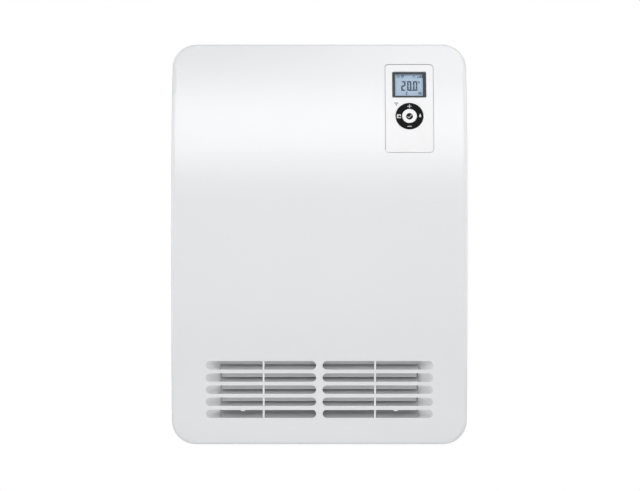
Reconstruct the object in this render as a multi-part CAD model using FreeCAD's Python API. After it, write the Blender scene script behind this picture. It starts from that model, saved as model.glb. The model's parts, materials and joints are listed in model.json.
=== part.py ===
import FreeCAD, Part

# A wall-mounted fan heater: a bowed steel casing over a cross-flow blower, which blows through a finned
# element. The origin is the middle of the wall bracket's screw pattern, on the wall. X runs to the right
# as seen from the room, Y into the wall and Z up. Sizes are in millimetres, angles in degrees.

import math
import os

from FreeCAD import Placement, Rotation, Vector

# Casing: heights named START or LOWEST are above the casing's bottom, BELOW_TOP ones below its top
CASE_WIDTH = 345.0
CASE_HEIGHT = 470.0
CASE_DEPTH = 127.0  # wall to the foremost part of the bow
CASE_SHEET = 1.2
CASE_CORNER = 28.0  # corner radius seen from the front
CASE_EDGE = 5.0  # radius of the edge round the front
RIM_GAP = 2.0  # wall to the casing's rear rim
UPPER_BOW = 310.0  # radius of the bow above its flat middle
UPPER_BOW_BELOW_TOP = 177.0  # where the bow starts
LOWER_BOW = 500.0
LOWER_BOW_START = 170.0

# Outlet slots in the front
SLOT_ROWS = 5
SLOT_HEIGHT = 10.2
SLOT_SIDE_MARGIN = 40.2  # slots' ends to the casing's side
SLOT_PITCH = 14.25
SLOT_LOWEST = 36.4
CENTRE_BAR = 7.6  # steel left between the two columns of slots

# Intake slots in both side walls
INTAKE_ROWS = 11
INTAKE_HEIGHT = 6.0
INTAKE_LENGTH = 46.0
INTAKE_PITCH = 16.0
INTAKE_LOWEST = 200.0
INTAKE_FROM_WALL = 62.0

# Screws from below that hold the casing
CASE_SCREW_FROM_SIDE = 62.5
CASE_SCREW_FROM_WALL = 18.0
CASE_SCREW_R = 2.0
CASE_SCREW_HOLE_R = 2.3
CASE_SCREW_HEAD_R = 4.0
CASE_SCREW_HEAD = 2.0
CASE_SCREW_LENGTH = 10.0

# Back panel, a pan that the casing slides over
PANEL_STANDOFF = 10.0  # wall to the panel's rear face
PANEL_SHEET = 1.0
PANEL_RIM = 15.0  # depth of the pan's rim in front of its sheet
PANEL_GAP = 0.4  # pan to casing

# Wall bracket with two hooks
WALL_HOLE_DX = 200.0
WALL_HOLE_DZ = 150.0
WALL_HOLE_R = 3.25
BRACKET_MARGIN = 16.0
BRACKET_SHEET = 1.5
BRACKET_CORNER = 8.0
BRACKET_LIP = 5.0
HOOK_X = 70.0
HOOK_Z = 50.0  # top of the hooks' arms, which the panel hangs on
HOOK_WIDTH = 24.0
HOOK_LIP = 9.0
HOOK_PLAY = 0.4  # panel to the hooks' lips
HOOK_SIDE_PLAY = 1.0

# Rubber spacers behind the panel's lower end
SPACER_FROM_SIDE = 62.5
SPACER_ABOVE_BOTTOM = 30.0
SPACER_R = 8.0
SPACER_STEM_R = 3.0
SPACER_STEM = 2.5
SPACER_EDGE = 1.2

# Cable inlet
GROMMET_FROM_SIDE = 32.5
GROMMET_ABOVE_BOTTOM = 170.0
CABLE_R = 4.2
GROMMET_R = 9.0
GROMMET_NECK_R = 7.0
GROMMET_FLANGE = 2.5

# Outlet grille behind the slots
GRILLE_GAP = 0.4  # grille to casing
GRILLE_DEPTH = 14.0
GRILLE_WALL = 1.5
GRILLE_MARGIN = 4.1  # outlet's height beyond the outer slot rows
CHEEK_OVERLAP = 0.7  # the flared cheeks start this far beyond the slots' ends
CHEEK_FLARE = 16.8  # how much narrower the duct is than the slots on each side
CHEEK_WALL = 2.2
RIB_X = 65.0
RIB_WIDTH = 2.1
RIB_DEPTH = 11.5
VANE_SETBACK = 2.0  # vanes are set back from the grille's front
VANE_DROP = 0.4  # vanes start this far below the slots' lower edges
VANE_LIFT = 30.0  # vanes rise by this angle towards the duct, from square to the bow
VANE_LENGTH = 16.0  # along the slope
GUARD_SETBACK = 4.5  # guard bars' rear behind the grille's front
GUARD_ROOT = 0.3  # guard bars' tops below the front edges of the vanes that they hang from
GUARD_END_GAP = 2.0  # guard bars end short of the duct's sides
TOP_GUARD_SETBACK = 7.5  # the same for the bar behind the top row
TOP_GUARD_DROP = 5.0  # that bar's lower edge below the row's upper edge
CLIP_X = 89.3
CLIP_WIDTH = 4.6
CLIP_HEIGHT = 1.5
CLIP_GAP = 0.15  # clip to the steel bar that it hooks on
CLIP_REACH = 1.3  # clip's tip in front of the grille

# Cross-flow fan
FAN_RADIUS = 29.0
FAN_ABOVE_BOTTOM = 125.0
FAN_END_GAP = 6.0
FAN_DISC = 2.0
FAN_RING = 1.2  # thickness of the middle rings
FAN_RINGS = 2
BLADE_COUNT = 20
BLADE_WIDTH = 8.0  # radial
BLADE_LEAN = 14.0
BLADE_BULGE = 9.5
BLADE_SHEET_ANGLE = 2.4
HUB_R = 8.0
HUB_LENGTH = 12.0
SHAFT_R = 3.0
RUN_GAP = 0.04

# Blower housing
DUCT_SHEET = 1.0
END_SHEET = 1.2
END_FLANGE = 14.0
END_MARGIN = 4.0
END_SHOULDER = 14.5  # end plates' upper corner in front of the fan's axis
DUCT_GAP = 0.3  # housing to grille
EXIT_ANGLE = 45.0  # slope of the duct's floor
EXIT_GAP = 15.0  # fan to the duct's floor
SCROLL_GAP = 9.0  # scroll's radius beyond the fan's
SCROLL_START = 80.0
SCROLL_REAR_GAP = 2.0  # scroll to the back panel
TONGUE_GAP = 3.5
TONGUE_ANGLE = 195.0
TONGUE_LIP_ANGLE = 170.0
TONGUE_LIP_GAP = 8.0
BLOWER_TOP_GAP = 9.0
BLOWER_REAR_DROP = 55.0
BLOWER_SCREW_R = 2.0
BLOWER_SCREW_HEAD_R = 3.6
BLOWER_SCREW_HEAD = 2.2
BLOWER_SCREW_LENGTH = 6.0
BLOWER_SCREW_INSET = 14.0

# Fan's free end
BUSH_R = 6.0
BUSH_LENGTH = 9.0
RUBBER_R = 12.5
RUBBER_NECK_R = 11.0
RUBBER_LENGTH = 8.0
SHAFT_OVERHANG = 2.0

# Shaded-pole motor
STACK_LENGTH = 16.0
STACK_WIDTH = 50.0
STACK_ABOVE = 23.0  # above the shaft
STACK_BELOW = 47.0
POLE_BORE_R = 14.0
ROTOR_GAP = 0.4
ROTOR_OVERHANG = 0.5
LEG_HEIGHT = 13.0
WINDOW_WIDTH = 30.0
WINDOW_HEIGHT = 13.0
COIL_BUILD = 10.0
COIL_ROUND = 4.0
BOBBIN_WALL = 1.0
BOBBIN_FLANGE = 1.5
BOBBIN_GAP = 0.2
BRIDGE_SHEET = 2.5
BRIDGE_HEIGHT = 14.0
BRIDGE_STANDOFF = 6.0
PILLAR_R = 4.0
BOSS_R = 8.0
MOTOR_BUSH_R = 5.0
MOTOR_BUSH_LENGTH = 10.0
MOTOR_SCREW_X = 20.0  # off the shaft
MOTOR_SCREW_R = 1.6
MOTOR_SCREW_HEAD_R = 3.2
MOTOR_SCREW_HEAD = 2.0
SHAFT_HOLE_R = 10.0

# Heating element
ELEMENT_TOP_GAP = 7.0  # below the outlet's top
ELEMENT_BOTTOM_GAP = 22.0  # above the outlet's bottom
ELEMENT_DEPTH = 13.0
ELEMENT_GAP = 2.5  # element to the grille's rear
BAR_COUNT = 3
BAR_HEIGHT = 5.0
BAR_INSET = 1.0  # bars are set back from the fins at front and rear
RAIL_HEIGHT = 1.5
BAR_END_GAP = 3.0
HOLDER_LENGTH = 10.5
HOLDER_LIP = 2.0
FIN_SHEET = 0.4
FIN_LEG = 0.6
FIN_FOOT = 2.6
FIN_TOP = 3.4
FIN_RUN = 2.0
TAB_WIDTH = 6.3
TAB_SHEET = 0.8
TAB_REACH = 14.0
TAB_HOLE_GAP = 4.0

# Overheat cut-out on the duct's roof
CUTOUT_X = 50.0
CUTOUT_R = 8.0
CUTOUT_HEIGHT = 9.0
CUTOUT_FOOT = 24.0
CUTOUT_FOOT_WIDTH = 10.0
CUTOUT_FOOT_SHEET = 1.0

# Power board
POWER_FROM_SIDE = 87.5
POWER_ABOVE_BOTTOM = 345.0
POWER_WIDTH = 100.0
POWER_HEIGHT = 90.0
POWER_BOARD = 1.6
POWER_CORNER = 3.0
POST_HEIGHT = 10.0
POST_R = 3.2
POST_INSET = 6.0
BOARD_SCREW_R = 1.4
BOARD_SCREW_HEAD_R = 2.7
BOARD_SCREW_HEAD = 1.8
BOARD_SCREW_GRIP = 6.0
RELAY_WIDTH = 15.5
RELAY_HEIGHT = 19.5
RELAY_DEPTH = 15.0
RELAY_GAP = 3.0
RELAY_EDGE = 0.8
TRANSFORMER_WIDTH = 32.0
TRANSFORMER_HEIGHT = 27.0
TRANSFORMER_DEPTH = 24.0
TRANSFORMER_CORE = 12.0
TRANSFORMER_CORE_STEP = 3.0
CAPACITOR_R = 6.0
CAPACITOR_HEIGHT = 18.0
CAPACITOR_EDGE = 0.8

# Supply terminals
TERMINAL_FROM_SIDE = 34.5
TERMINAL_ABOVE_BOTTOM = 210.0
TERMINAL_POLES = 3
TERMINAL_PITCH = 12.0
TERMINAL_HEIGHT = 20.0
TERMINAL_DEPTH = 18.0
TERMINAL_WALL = 1.5
TERMINAL_WIRE_R = 2.2
TERMINAL_SCREW_R = 2.6
TERMINAL_SCREW_Y = 5.0  # above the block's middle
TERMINAL_SCREW_DEPTH = 5.0
TERMINAL_SCREW_SINK = 2.0
EARTH_FROM_SIDE = 77.5
EARTH_R = 2.0
EARTH_LENGTH = 14.0
EARTH_NUT_R = 4.0
EARTH_NUT_HEIGHT = 3.2

# Room temperature sensor beside the intake
SENSOR_FROM_SIDE = 22.5
SENSOR_ABOVE_BOTTOM = 265.0
SENSOR_POST = 30.0
SENSOR_POST_WIDTH = 7.0
SENSOR_POST_CORNER = 1.4
SENSOR_R = 2.2
SENSOR_LENGTH = 8.0
SENSOR_SEAT = 3.0

# Control fascia, drawn in its own frame: x across, y up along the front, z out of the casing's surface
FASCIA_FROM_SIDE = 67.3
FASCIA_BELOW_TOP = 74.9
FASCIA_WIDTH = 55.8
FASCIA_LENGTH = 110.0
FASCIA_CORNER = 4.0
FASCIA_WALL = 2.2
FASCIA_SKIRT = 1.8
FASCIA_PROUD = 0.5
FASCIA_GAP = 0.6  # fascia to the edge of its opening
FLANGE_WIDTH = 4.0
FLANGE_WALL = 1.6
FLANGE_GAP = 0.15  # flange to the casing's inside

# Display
LENS_WIDTH = 39.8
LENS_HEIGHT = 34.0
LENS_Y = 28.3
LENS_CORNER = 1.5
LENS_WALL = 1.4
LENS_SINK = 0.1  # below the fascia's surface
LENS_LEDGE = 2.0
LENS_GAP = 0.1
LCD_SIDE = 0.8  # how much smaller than the lens on each side
LCD_SHEET = 2.2
LCD_GAP = 0.2
LCD_HOLDER_WALL = 2.0

# Keys
KEY_Y = -11.8  # middle of the key ring
KEY_RING_R = 16.1
KEY_RING_INNER = 8.9
KEY_GAP = 0.3
KEY_PROUD = 1.3
KEY_EDGE = 0.35
KEY_FLANGE = 1.6
KEY_FLANGE_WALL = 1.0
KEY_PLAY = 0.3
KEY_TRAVEL = 0.8
KEY_STEM_R = 2.0
OK_PROUD = 1.1
MAT_WALL = 1.0
MAT_MARGIN = 1.0
DOME_R = 2.6
DOME_HEIGHT = 1.6
DOME_GAP = 0.1  # between a key's stem and its dome at full travel

# Control board and its cover
BOARD_DEPTH = 11.0  # casing's surface to the board's face
BOARD_SHEET = 1.6
BOARD_GAP = 0.4
COVER_SEAM = 0.9  # board's rear to the seam between fascia and cover
COVER_DEPTH = 10.5
COVER_WALL = 1.8
CABLE_NOTCH_WIDTH = 14.0
CABLE_NOTCH_HEIGHT = 4.0
CONTROL_SCREW_INSET = 6.0
CONTROL_SCREW_R = 1.25
CONTROL_SCREW_GRIP = 4.0
CONTROL_SCREW_HEAD_R = 2.4
CONTROL_SCREW_HEAD = 1.4
CONTROL_BOSS_R = 2.6
CONTROL_POST_R = 3.2
SCREW_CLEARANCE = 0.15

# Places worked out from the sizes above; pairs are (y, z)
CUT_PAST = 1.0  # how far cutters run past what they cut
CLOSE = 0.01  # how near a point or a slope counts as the same
PARALLEL = 0.9  # part of a direction along an axis that counts as parallel to it
FACES_ROOM = -0.3  # a face whose outward Y is below this belongs to the front
X_AXIS = Vector(1, 0, 0)
Z_AXIS = Vector(0, 0, 1)
SIDES = (-1, 1)
CASE_BOTTOM = -CASE_HEIGHT / 2
CASE_TOP = CASE_HEIGHT / 2
CASE_SIDE = CASE_WIDTH / 2
UPPER_AXIS = (UPPER_BOW - CASE_DEPTH, CASE_TOP - UPPER_BOW_BELOW_TOP)
LOWER_AXIS = (LOWER_BOW - CASE_DEPTH, CASE_BOTTOM + LOWER_BOW_START)
PANEL_FRONT = PANEL_STANDOFF + PANEL_SHEET  # distance from the wall
SLOT_END = CASE_SIDE - SLOT_SIDE_MARGIN
SLOT_LENGTH = SLOT_END - CENTRE_BAR / 2
GROMMET_X = GROMMET_FROM_SIDE - CASE_SIDE
POWER_X = POWER_FROM_SIDE - CASE_SIDE
TERMINAL_X = TERMINAL_FROM_SIDE - CASE_SIDE
EARTH_X = EARTH_FROM_SIDE - CASE_SIDE
EARTH_Z = CASE_BOTTOM + TERMINAL_ABOVE_BOTTOM
SENSOR_X = SENSOR_FROM_SIDE - CASE_SIDE
SLOT_BOTTOM_ROW = CASE_BOTTOM + SLOT_LOWEST
SLOT_TOP_ROW = SLOT_BOTTOM_ROW + (SLOT_ROWS - 1) * SLOT_PITCH
OUTLET_TOP = SLOT_TOP_ROW + SLOT_HEIGHT / 2 + GRILLE_MARGIN
OUTLET_BOTTOM = SLOT_BOTTOM_ROW - SLOT_HEIGHT / 2 - GRILLE_MARGIN
GRILLE_FRONT_R = LOWER_BOW - CASE_SHEET - GRILLE_GAP
GRILLE_REAR_R = GRILLE_FRONT_R - GRILLE_DEPTH
DUCT_FRONT_R = GRILLE_REAR_R - DUCT_GAP
SCROLL_R = FAN_RADIUS + SCROLL_GAP
SCROLL_SHIFT = FAN_RADIUS + EXIT_GAP - SCROLL_R  # fan's axis to the scroll's
SCROLL_REAR = SCROLL_R + DUCT_SHEET + SCROLL_SHIFT * math.sin(math.radians(EXIT_ANGLE))
FAN = (-PANEL_FRONT - SCROLL_REAR_GAP - SCROLL_REAR, CASE_BOTTOM + FAN_ABOVE_BOTTOM)
DUCT_SIDE = SLOT_END - CHEEK_FLARE
END_OUTSIDE = DUCT_SIDE + END_SHEET
FAN_END = DUCT_SIDE - FAN_END_GAP
BLOWER_TOP = FAN[1] + FAN_RADIUS + BLOWER_TOP_GAP
BLOWER_REAR = FAN[1] - BLOWER_REAR_DROP
BRIDGE_START = END_OUTSIDE + BRIDGE_STANDOFF
STACK_START = BRIDGE_START + BRIDGE_SHEET + BRIDGE_STANDOFF
STACK_END = STACK_START + STACK_LENGTH
LEG_BOTTOM = FAN[1] - STACK_BELOW
LEG_TOP = LEG_BOTTOM + LEG_HEIGHT
ELEMENT_HEIGHT = OUTLET_TOP - OUTLET_BOTTOM - ELEMENT_TOP_GAP - ELEMENT_BOTTOM_GAP
ELEMENT_Z = OUTLET_TOP - ELEMENT_TOP_GAP - ELEMENT_HEIGHT / 2
FASCIA_Z = CASE_TOP - FASCIA_BELOW_TOP
FASCIA_TILT = math.asin((FASCIA_Z - UPPER_AXIS[1]) / UPPER_BOW)
FASCIA_PLACE = Placement(
    Vector(CASE_SIDE - FASCIA_FROM_SIDE, UPPER_AXIS[0] - UPPER_BOW * math.cos(FASCIA_TILT), FASCIA_Z),
    Rotation(X_AXIS, 90 - math.degrees(FASCIA_TILT)),
)
BOARD_REAR = BOARD_DEPTH + BOARD_SHEET
CONTROL_SEAM = BOARD_REAR + COVER_SEAM
CONTROL_REAR = CONTROL_SEAM + COVER_DEPTH
KEY_STEM_CIRCLE = (KEY_RING_R + KEY_RING_INNER) / 2
KEY_STEM_END = -BOARD_DEPTH + MAT_WALL + DOME_HEIGHT + DOME_GAP + KEY_TRAVEL


# Basic forms
def limits(first, second):
    return (min(first, second), max(first, second))


def box(x, y, z):
    """A box between two limits along each axis."""
    return Part.makeBox(x[1] - x[0], y[1] - y[0], z[1] - z[0], Vector(x[0], y[0], z[0]))


def rod(radius, start, end):
    """A cylinder from one point to another."""
    return Part.makeCylinder(radius, start.distanceToPoint(end), start, end.sub(start))


def cross_rod(radius, x, place=FAN):
    """A cylinder along X between two limits, on the fan's axis unless another place is given."""
    return rod(radius, Vector(x[0], *place), Vector(x[1], *place))


def slab(width, height, corner, z):
    """A rounded rectangle about the frame's Z axis, between two heights."""
    block = box((-width / 2, width / 2), (-height / 2, height / 2), z)
    upright = [edge for edge in block.Edges if abs(edge.tangentAt(edge.FirstParameter).z) > PARALLEL]
    return block.makeFillet(corner, upright)


def stadium(length, height, z):
    """A slot with round ends along X about the frame's Z axis, between two heights."""
    radius = height / 2
    reach = length / 2 - radius
    places = ((-reach, -radius), (reach, -radius), (reach, radius), (-reach, radius))
    corners = [Vector(x, y, z[0]) for x, y in places]
    edges = [
        Part.makeLine(corners[0], corners[1]),
        Part.Arc(corners[1], Vector(reach + radius, 0, z[0]), corners[2]).toShape(),
        Part.makeLine(corners[2], corners[3]),
        Part.Arc(corners[3], Vector(-reach - radius, 0, z[0]), corners[0]).toShape(),
    ]
    return Part.Face(Part.Wire(edges)).extrude(Vector(0, 0, z[1] - z[0]))


def moved(shape, place):
    copy = shape.copy()
    copy.Placement = place.multiply(copy.Placement)
    return copy


def facing_room(shape, x, z):
    """Stands a shape up at a place on the wall: its Y points up and its Z out of the wall."""
    return moved(shape, Placement(Vector(x, 0, z), Rotation(X_AXIS, 90)))


def wall_rod(radius, x, z, span):
    """A cylinder square to the wall between two distances from it."""
    return rod(radius, Vector(x, -span[0], z), Vector(x, -span[1], z))


def cut_all(body, tools):
    return body.cut(Part.makeCompound(tools))


def fuse_all(shapes):
    return shapes[0].multiFuse(shapes[1:]).removeSplitter()


def polar(origin, radius, angle):
    """A (y, z) pair at a distance and an angle, counted from Y towards Z."""
    turn = math.radians(angle)
    return (origin[0] + radius * math.cos(turn), origin[1] + radius * math.sin(turn))


def across(points, x):
    """A straight-sided outline of (y, z) pairs, drawn out along X between two limits."""
    corners = [Vector(x[0], *point) for point in points]
    return Part.Face(Part.makePolygon(corners + corners[:1])).extrude(Vector(x[1] - x[0], 0, 0))


def arc_yz(x, start, middle, end):
    return Part.Arc(Vector(x, *start), Vector(x, *middle), Vector(x, *end)).toShape()


def line_yz(x, start, end):
    return Part.makeLine(Vector(x, *start), Vector(x, *end))


# The bow of the front
def bow_y(axis, radius, z):
    """Where a cylinder about one of the bow's axes has its front at a height."""
    return axis[0] - math.sqrt(radius**2 - (z - axis[1]) ** 2)


def bow_arc(x, axis, radius, start, end):
    """An edge that follows the bow between two heights."""
    heights = (start, (start + end) / 2, end)
    return arc_yz(x, *[(bow_y(axis, radius, z), z) for z in heights])


def lower_sweep(outline, top, bottom):
    """Turns (x, radius) pairs about the lower bow's axis, between two heights at the grille's front."""
    corners = [Vector(x, LOWER_AXIS[0] - radius, LOWER_AXIS[1]) for x, radius in outline]
    centre = Vector(0, *LOWER_AXIS)
    angles = [math.degrees(math.asin((LOWER_AXIS[1] - z) / GRILLE_FRONT_R)) for z in (top, bottom)]
    face = Part.Face(Part.makePolygon(corners + corners[:1]))
    face.rotate(centre, X_AXIS, angles[0])
    return face.revolve(centre, X_AXIS, angles[1] - angles[0])


def lower_band(x, radius, top, bottom):
    outline = [(x[0], radius[0]), (x[1], radius[0]), (x[1], radius[1]), (x[0], radius[1])]
    return lower_sweep(outline, top, bottom)


# Casing
def casing_form(inset, rear):
    """The casing's outside, moved in by an inset, as a solid that reaches back to a given Y."""
    half = CASE_WIDTH / 2 - inset
    top = CASE_TOP - inset
    bottom = CASE_BOTTOM + inset
    front = inset - CASE_DEPTH
    low = (bow_y(LOWER_AXIS, LOWER_BOW - inset, bottom), bottom)
    high = (bow_y(UPPER_AXIS, UPPER_BOW - inset, top), top)
    edges = [
        line_yz(-half, (rear, bottom), low),
        bow_arc(-half, LOWER_AXIS, LOWER_BOW - inset, bottom, LOWER_AXIS[1]),
        line_yz(-half, (front, LOWER_AXIS[1]), (front, UPPER_AXIS[1])),
        bow_arc(-half, UPPER_AXIS, UPPER_BOW - inset, UPPER_AXIS[1], top),
        line_yz(-half, high, (rear, top)),
        line_yz(-half, (rear, top), (rear, bottom)),
    ]
    profile = Part.Face(Part.Wire(edges)).extrude(Vector(2 * half, 0, 0))
    outline = slab(2 * half, top - bottom, CASE_CORNER - inset, (-rear, 2 * CASE_DEPTH))
    form = profile.common(facing_room(outline, 0, 0))
    return form.makeFillet(CASE_EDGE - inset, front_edges(form))


def outward_y(face):
    u_first, u_last, v_first, v_last = face.ParameterRange
    return face.normalAt((u_first + u_last) / 2, (v_first + v_last) / 2).y


def front_edges(form):
    """The edges where a side wall of the casing meets its bowed front."""
    chosen = []
    for edge in form.Edges:
        slopes = sorted(outward_y(face) for face in form.ancestorsOfType(edge, Part.Face))
        if slopes[0] < FACES_ROOM and abs(slopes[-1]) < CLOSE:
            chosen.append(edge)
    return chosen


def slot_rows():
    return [SLOT_BOTTOM_ROW + row * SLOT_PITCH for row in range(SLOT_ROWS)]


def lower_frame(x, z):
    """A frame on the lower bow: x across, y up along the casing's surface and z out of it."""
    drop = math.degrees(math.asin((LOWER_AXIS[1] - z) / LOWER_BOW))
    return Placement(Vector(x, bow_y(LOWER_AXIS, LOWER_BOW, z), z), Rotation(X_AXIS, 90 + drop))


def outlet_slots():
    """Cutters square to the bow."""
    slot = stadium(SLOT_LENGTH, SLOT_HEIGHT, (-CASE_SHEET - CUT_PAST, CUT_PAST))
    middle = (CENTRE_BAR + SLOT_LENGTH) / 2
    return [moved(slot, lower_frame(side * middle, z)) for z in slot_rows() for side in SIDES]


def intake_slots():
    """Cutters that run from side to side, so that each makes a slot in both walls."""
    slot = stadium(INTAKE_LENGTH, INTAKE_HEIGHT, (-CASE_WIDTH, CASE_WIDTH))
    turn = Rotation(Vector(1, 1, 1), 120)
    lowest = CASE_BOTTOM + INTAKE_LOWEST
    heights = [lowest + row * INTAKE_PITCH for row in range(INTAKE_ROWS)]
    return [moved(slot, Placement(Vector(0, -INTAKE_FROM_WALL, z), turn)) for z in heights]


def casing_screw_rods(radius, start, end):
    places = [(side * (CASE_SIDE - CASE_SCREW_FROM_SIDE), -CASE_SCREW_FROM_WALL) for side in SIDES]
    return [rod(radius, Vector(x, y, start), Vector(x, y, end)) for x, y in places]


def front_casing():
    shell = casing_form(0, -RIM_GAP).cut(casing_form(CASE_SHEET, RIM_GAP))
    shell = cut_all(shell, outlet_slots())
    opening = fascia_slab(FASCIA_GAP, (-CONTROL_SEAM, CONTROL_SEAM))
    holes = casing_screw_rods(CASE_SCREW_HOLE_R, CASE_BOTTOM - CUT_PAST, CASE_BOTTOM + CASE_SHEET + CUT_PAST)
    return cut_all(shell, intake_slots() + holes + [moved(opening, FASCIA_PLACE)])


def casing_screws():
    heads = casing_screw_rods(CASE_SCREW_HEAD_R, CASE_BOTTOM - CASE_SCREW_HEAD, CASE_BOTTOM)
    shanks = casing_screw_rods(CASE_SCREW_R, CASE_BOTTOM, CASE_BOTTOM + CASE_SCREW_LENGTH)
    return [head.fuse(shank) for head, shank in zip(heads, shanks)]


# Back panel and what holds it on the wall
def back_panel():
    inset = CASE_SHEET + PANEL_GAP
    pan = panel_slab(inset, (PANEL_STANDOFF, PANEL_FRONT + PANEL_RIM))
    pan = pan.cut(panel_slab(inset + PANEL_SHEET, (PANEL_FRONT, PANEL_FRONT + 2 * PANEL_RIM)))
    through = (PANEL_STANDOFF - CUT_PAST, PANEL_FRONT + CUT_PAST)
    holes = casing_screw_rods(CASE_SCREW_R, CASE_BOTTOM, CASE_BOTTOM + inset + PANEL_SHEET + CUT_PAST)
    holes += [wall_rod(SPACER_STEM_R, x, z, through) for x, z in spacer_places()]
    holes += [wall_rod(BLOWER_SCREW_R, x, z, through) for x, z in blower_screw_places()]
    holes.append(wall_rod(GROMMET_NECK_R, GROMMET_X, CASE_BOTTOM + GROMMET_ABOVE_BOTTOM, through))
    hook_half = HOOK_WIDTH / 2 + HOOK_SIDE_PLAY
    slot_height = HOOK_LIP + 2 * BRACKET_SHEET
    for side in SIDES:
        x = (side * HOOK_X - hook_half, side * HOOK_X + hook_half)
        holes.append(box(x, (-through[1], -through[0]), (HOOK_Z - slot_height, HOOK_Z)))
    return cut_all(pan, holes)


def panel_slab(inset, span):
    outline = slab(CASE_WIDTH - 2 * inset, CASE_HEIGHT - 2 * inset, CASE_CORNER - inset, span)
    return facing_room(outline, 0, 0)


def wall_bracket():
    width = WALL_HOLE_DX + 2 * BRACKET_MARGIN
    height = WALL_HOLE_DZ + 2 * BRACKET_MARGIN
    pieces = [facing_room(slab(width, height, BRACKET_CORNER, (0, BRACKET_SHEET)), 0, 0)]
    lip_half = width / 2 - BRACKET_CORNER
    for side in SIDES:
        edge = limits(side * height / 2, side * (height / 2 - BRACKET_SHEET))
        pieces.append(box((-lip_half, lip_half), (-BRACKET_LIP, 0), edge))
    lip_start = PANEL_FRONT + HOOK_PLAY
    lip_end = lip_start + BRACKET_SHEET
    arm_bottom = HOOK_Z - BRACKET_SHEET
    blank = lip_end + HOOK_LIP - BRACKET_SHEET
    holes = []
    for side in SIDES:
        x = (side * HOOK_X - HOOK_WIDTH / 2, side * HOOK_X + HOOK_WIDTH / 2)
        pieces.append(box(x, (-lip_end, 0), (arm_bottom, HOOK_Z)))
        pieces.append(box(x, (-lip_end, -lip_start), (arm_bottom, HOOK_Z + HOOK_LIP)))
        holes.append(box(x, (-BRACKET_SHEET, 0), (arm_bottom - blank, arm_bottom)))
        for level in SIDES:
            place = (side * WALL_HOLE_DX / 2, level * WALL_HOLE_DZ / 2)
            holes.append(wall_rod(WALL_HOLE_R, *place, (-CUT_PAST, BRACKET_SHEET + CUT_PAST)))
    return cut_all(fuse_all(pieces), holes)


def spacer_places():
    return [(side * (CASE_SIDE - SPACER_FROM_SIDE), CASE_BOTTOM + SPACER_ABOVE_BOTTOM) for side in SIDES]


def wall_spacers():
    spacers = []
    for x, z in spacer_places():
        foot = wall_rod(SPACER_R, x, z, (0, PANEL_STANDOFF))
        rim = [edge for edge in foot.Edges if abs(edge.CenterOfMass.y) < CLOSE and edge.Closed]
        foot = foot.makeChamfer(SPACER_EDGE, rim)
        spacers.append(foot.fuse(wall_rod(SPACER_STEM_R, x, z, (PANEL_STANDOFF, PANEL_FRONT + SPACER_STEM))))
    return spacers


def cable_grommet():
    z = CASE_BOTTOM + GROMMET_ABOVE_BOTTOM
    span = (PANEL_STANDOFF - GROMMET_FLANGE, PANEL_FRONT + GROMMET_FLANGE)
    pieces = [
        wall_rod(GROMMET_R, GROMMET_X, z, (span[0], PANEL_STANDOFF)),
        wall_rod(GROMMET_NECK_R, GROMMET_X, z, (PANEL_STANDOFF, PANEL_FRONT)),
        wall_rod(GROMMET_R, GROMMET_X, z, (PANEL_FRONT, span[1])),
    ]
    return fuse_all(pieces).cut(wall_rod(CABLE_R, GROMMET_X, z, (span[0] - CUT_PAST, span[1] + CUT_PAST)))


# Outlet grille
def cheek_end():
    return SLOT_END + CHEEK_OVERLAP


def grille_ribs():
    depth = (GRILLE_FRONT_R - RIB_DEPTH, GRILLE_FRONT_R)
    spans = [(x - RIB_WIDTH / 2, x + RIB_WIDTH / 2) for x in (-RIB_X, 0, RIB_X)]
    return [lower_band(span, depth, OUTLET_TOP, OUTLET_BOTTOM) for span in spans]


def guard_bar(half, setback, top, bottom):
    """An upright bar across the outlet, set back from the grille's front."""
    rear = GRILLE_FRONT_R - setback
    return lower_band((-half, half), (rear, rear + GRILLE_WALL), top, bottom)


def outlet_grille():
    """The white frame: cheeks, ribs and a bar with two clips behind the lowest row."""
    outside = cheek_end() + CHEEK_WALL
    depth = (GRILLE_REAR_R, GRILLE_FRONT_R)
    pieces = [
        lower_band((-outside, outside), depth, OUTLET_TOP, OUTLET_TOP - GRILLE_WALL),
        lower_band((-outside, outside), depth, OUTLET_BOTTOM + GRILLE_WALL, OUTLET_BOTTOM),
    ]
    for side in SIDES:
        cheek = [
            (side * DUCT_SIDE, GRILLE_REAR_R),
            (side * (DUCT_SIDE + CHEEK_WALL), GRILLE_REAR_R),
            (side * outside, GRILLE_FRONT_R),
            (side * cheek_end(), GRILLE_FRONT_R),
        ]
        pieces.append(lower_sweep(cheek, OUTLET_TOP, OUTLET_BOTTOM))
    pieces += grille_ribs()
    clip_top = SLOT_BOTTOM_ROW + SLOT_HEIGHT / 2 - CLIP_GAP
    bar_half = DUCT_SIDE - GUARD_END_GAP
    pieces.append(guard_bar(bar_half, GUARD_SETBACK, clip_top, clip_top - CLIP_HEIGHT))
    clip_depth = (GRILLE_FRONT_R - GUARD_SETBACK, GRILLE_FRONT_R + CLIP_REACH)
    for side in SIDES:
        clip = (side * CLIP_X - CLIP_WIDTH / 2, side * CLIP_X + CLIP_WIDTH / 2)
        pieces.append(lower_band(clip, clip_depth, clip_top, clip_top - CLIP_HEIGHT))
    return fuse_all(pieces)


def vane(front):
    """A vane between the duct's sides that rises towards the duct, from the height of its front edge."""
    radius = GRILLE_FRONT_R - VANE_SETBACK
    slope = math.degrees(math.asin((LOWER_AXIS[1] - front) / radius)) + VANE_LIFT
    upper = (bow_y(LOWER_AXIS, radius, front), front)
    lower = polar(upper, GRILLE_WALL, slope - 90)
    corners = [upper, polar(upper, VANE_LENGTH, slope), polar(lower, VANE_LENGTH, slope), lower]
    room = lower_band((-DUCT_SIDE, DUCT_SIDE), (GRILLE_REAR_R, GRILLE_FRONT_R), OUTLET_TOP, OUTLET_BOTTOM)
    return across(corners, (-DUCT_SIDE, DUCT_SIDE)).common(room)


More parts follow.
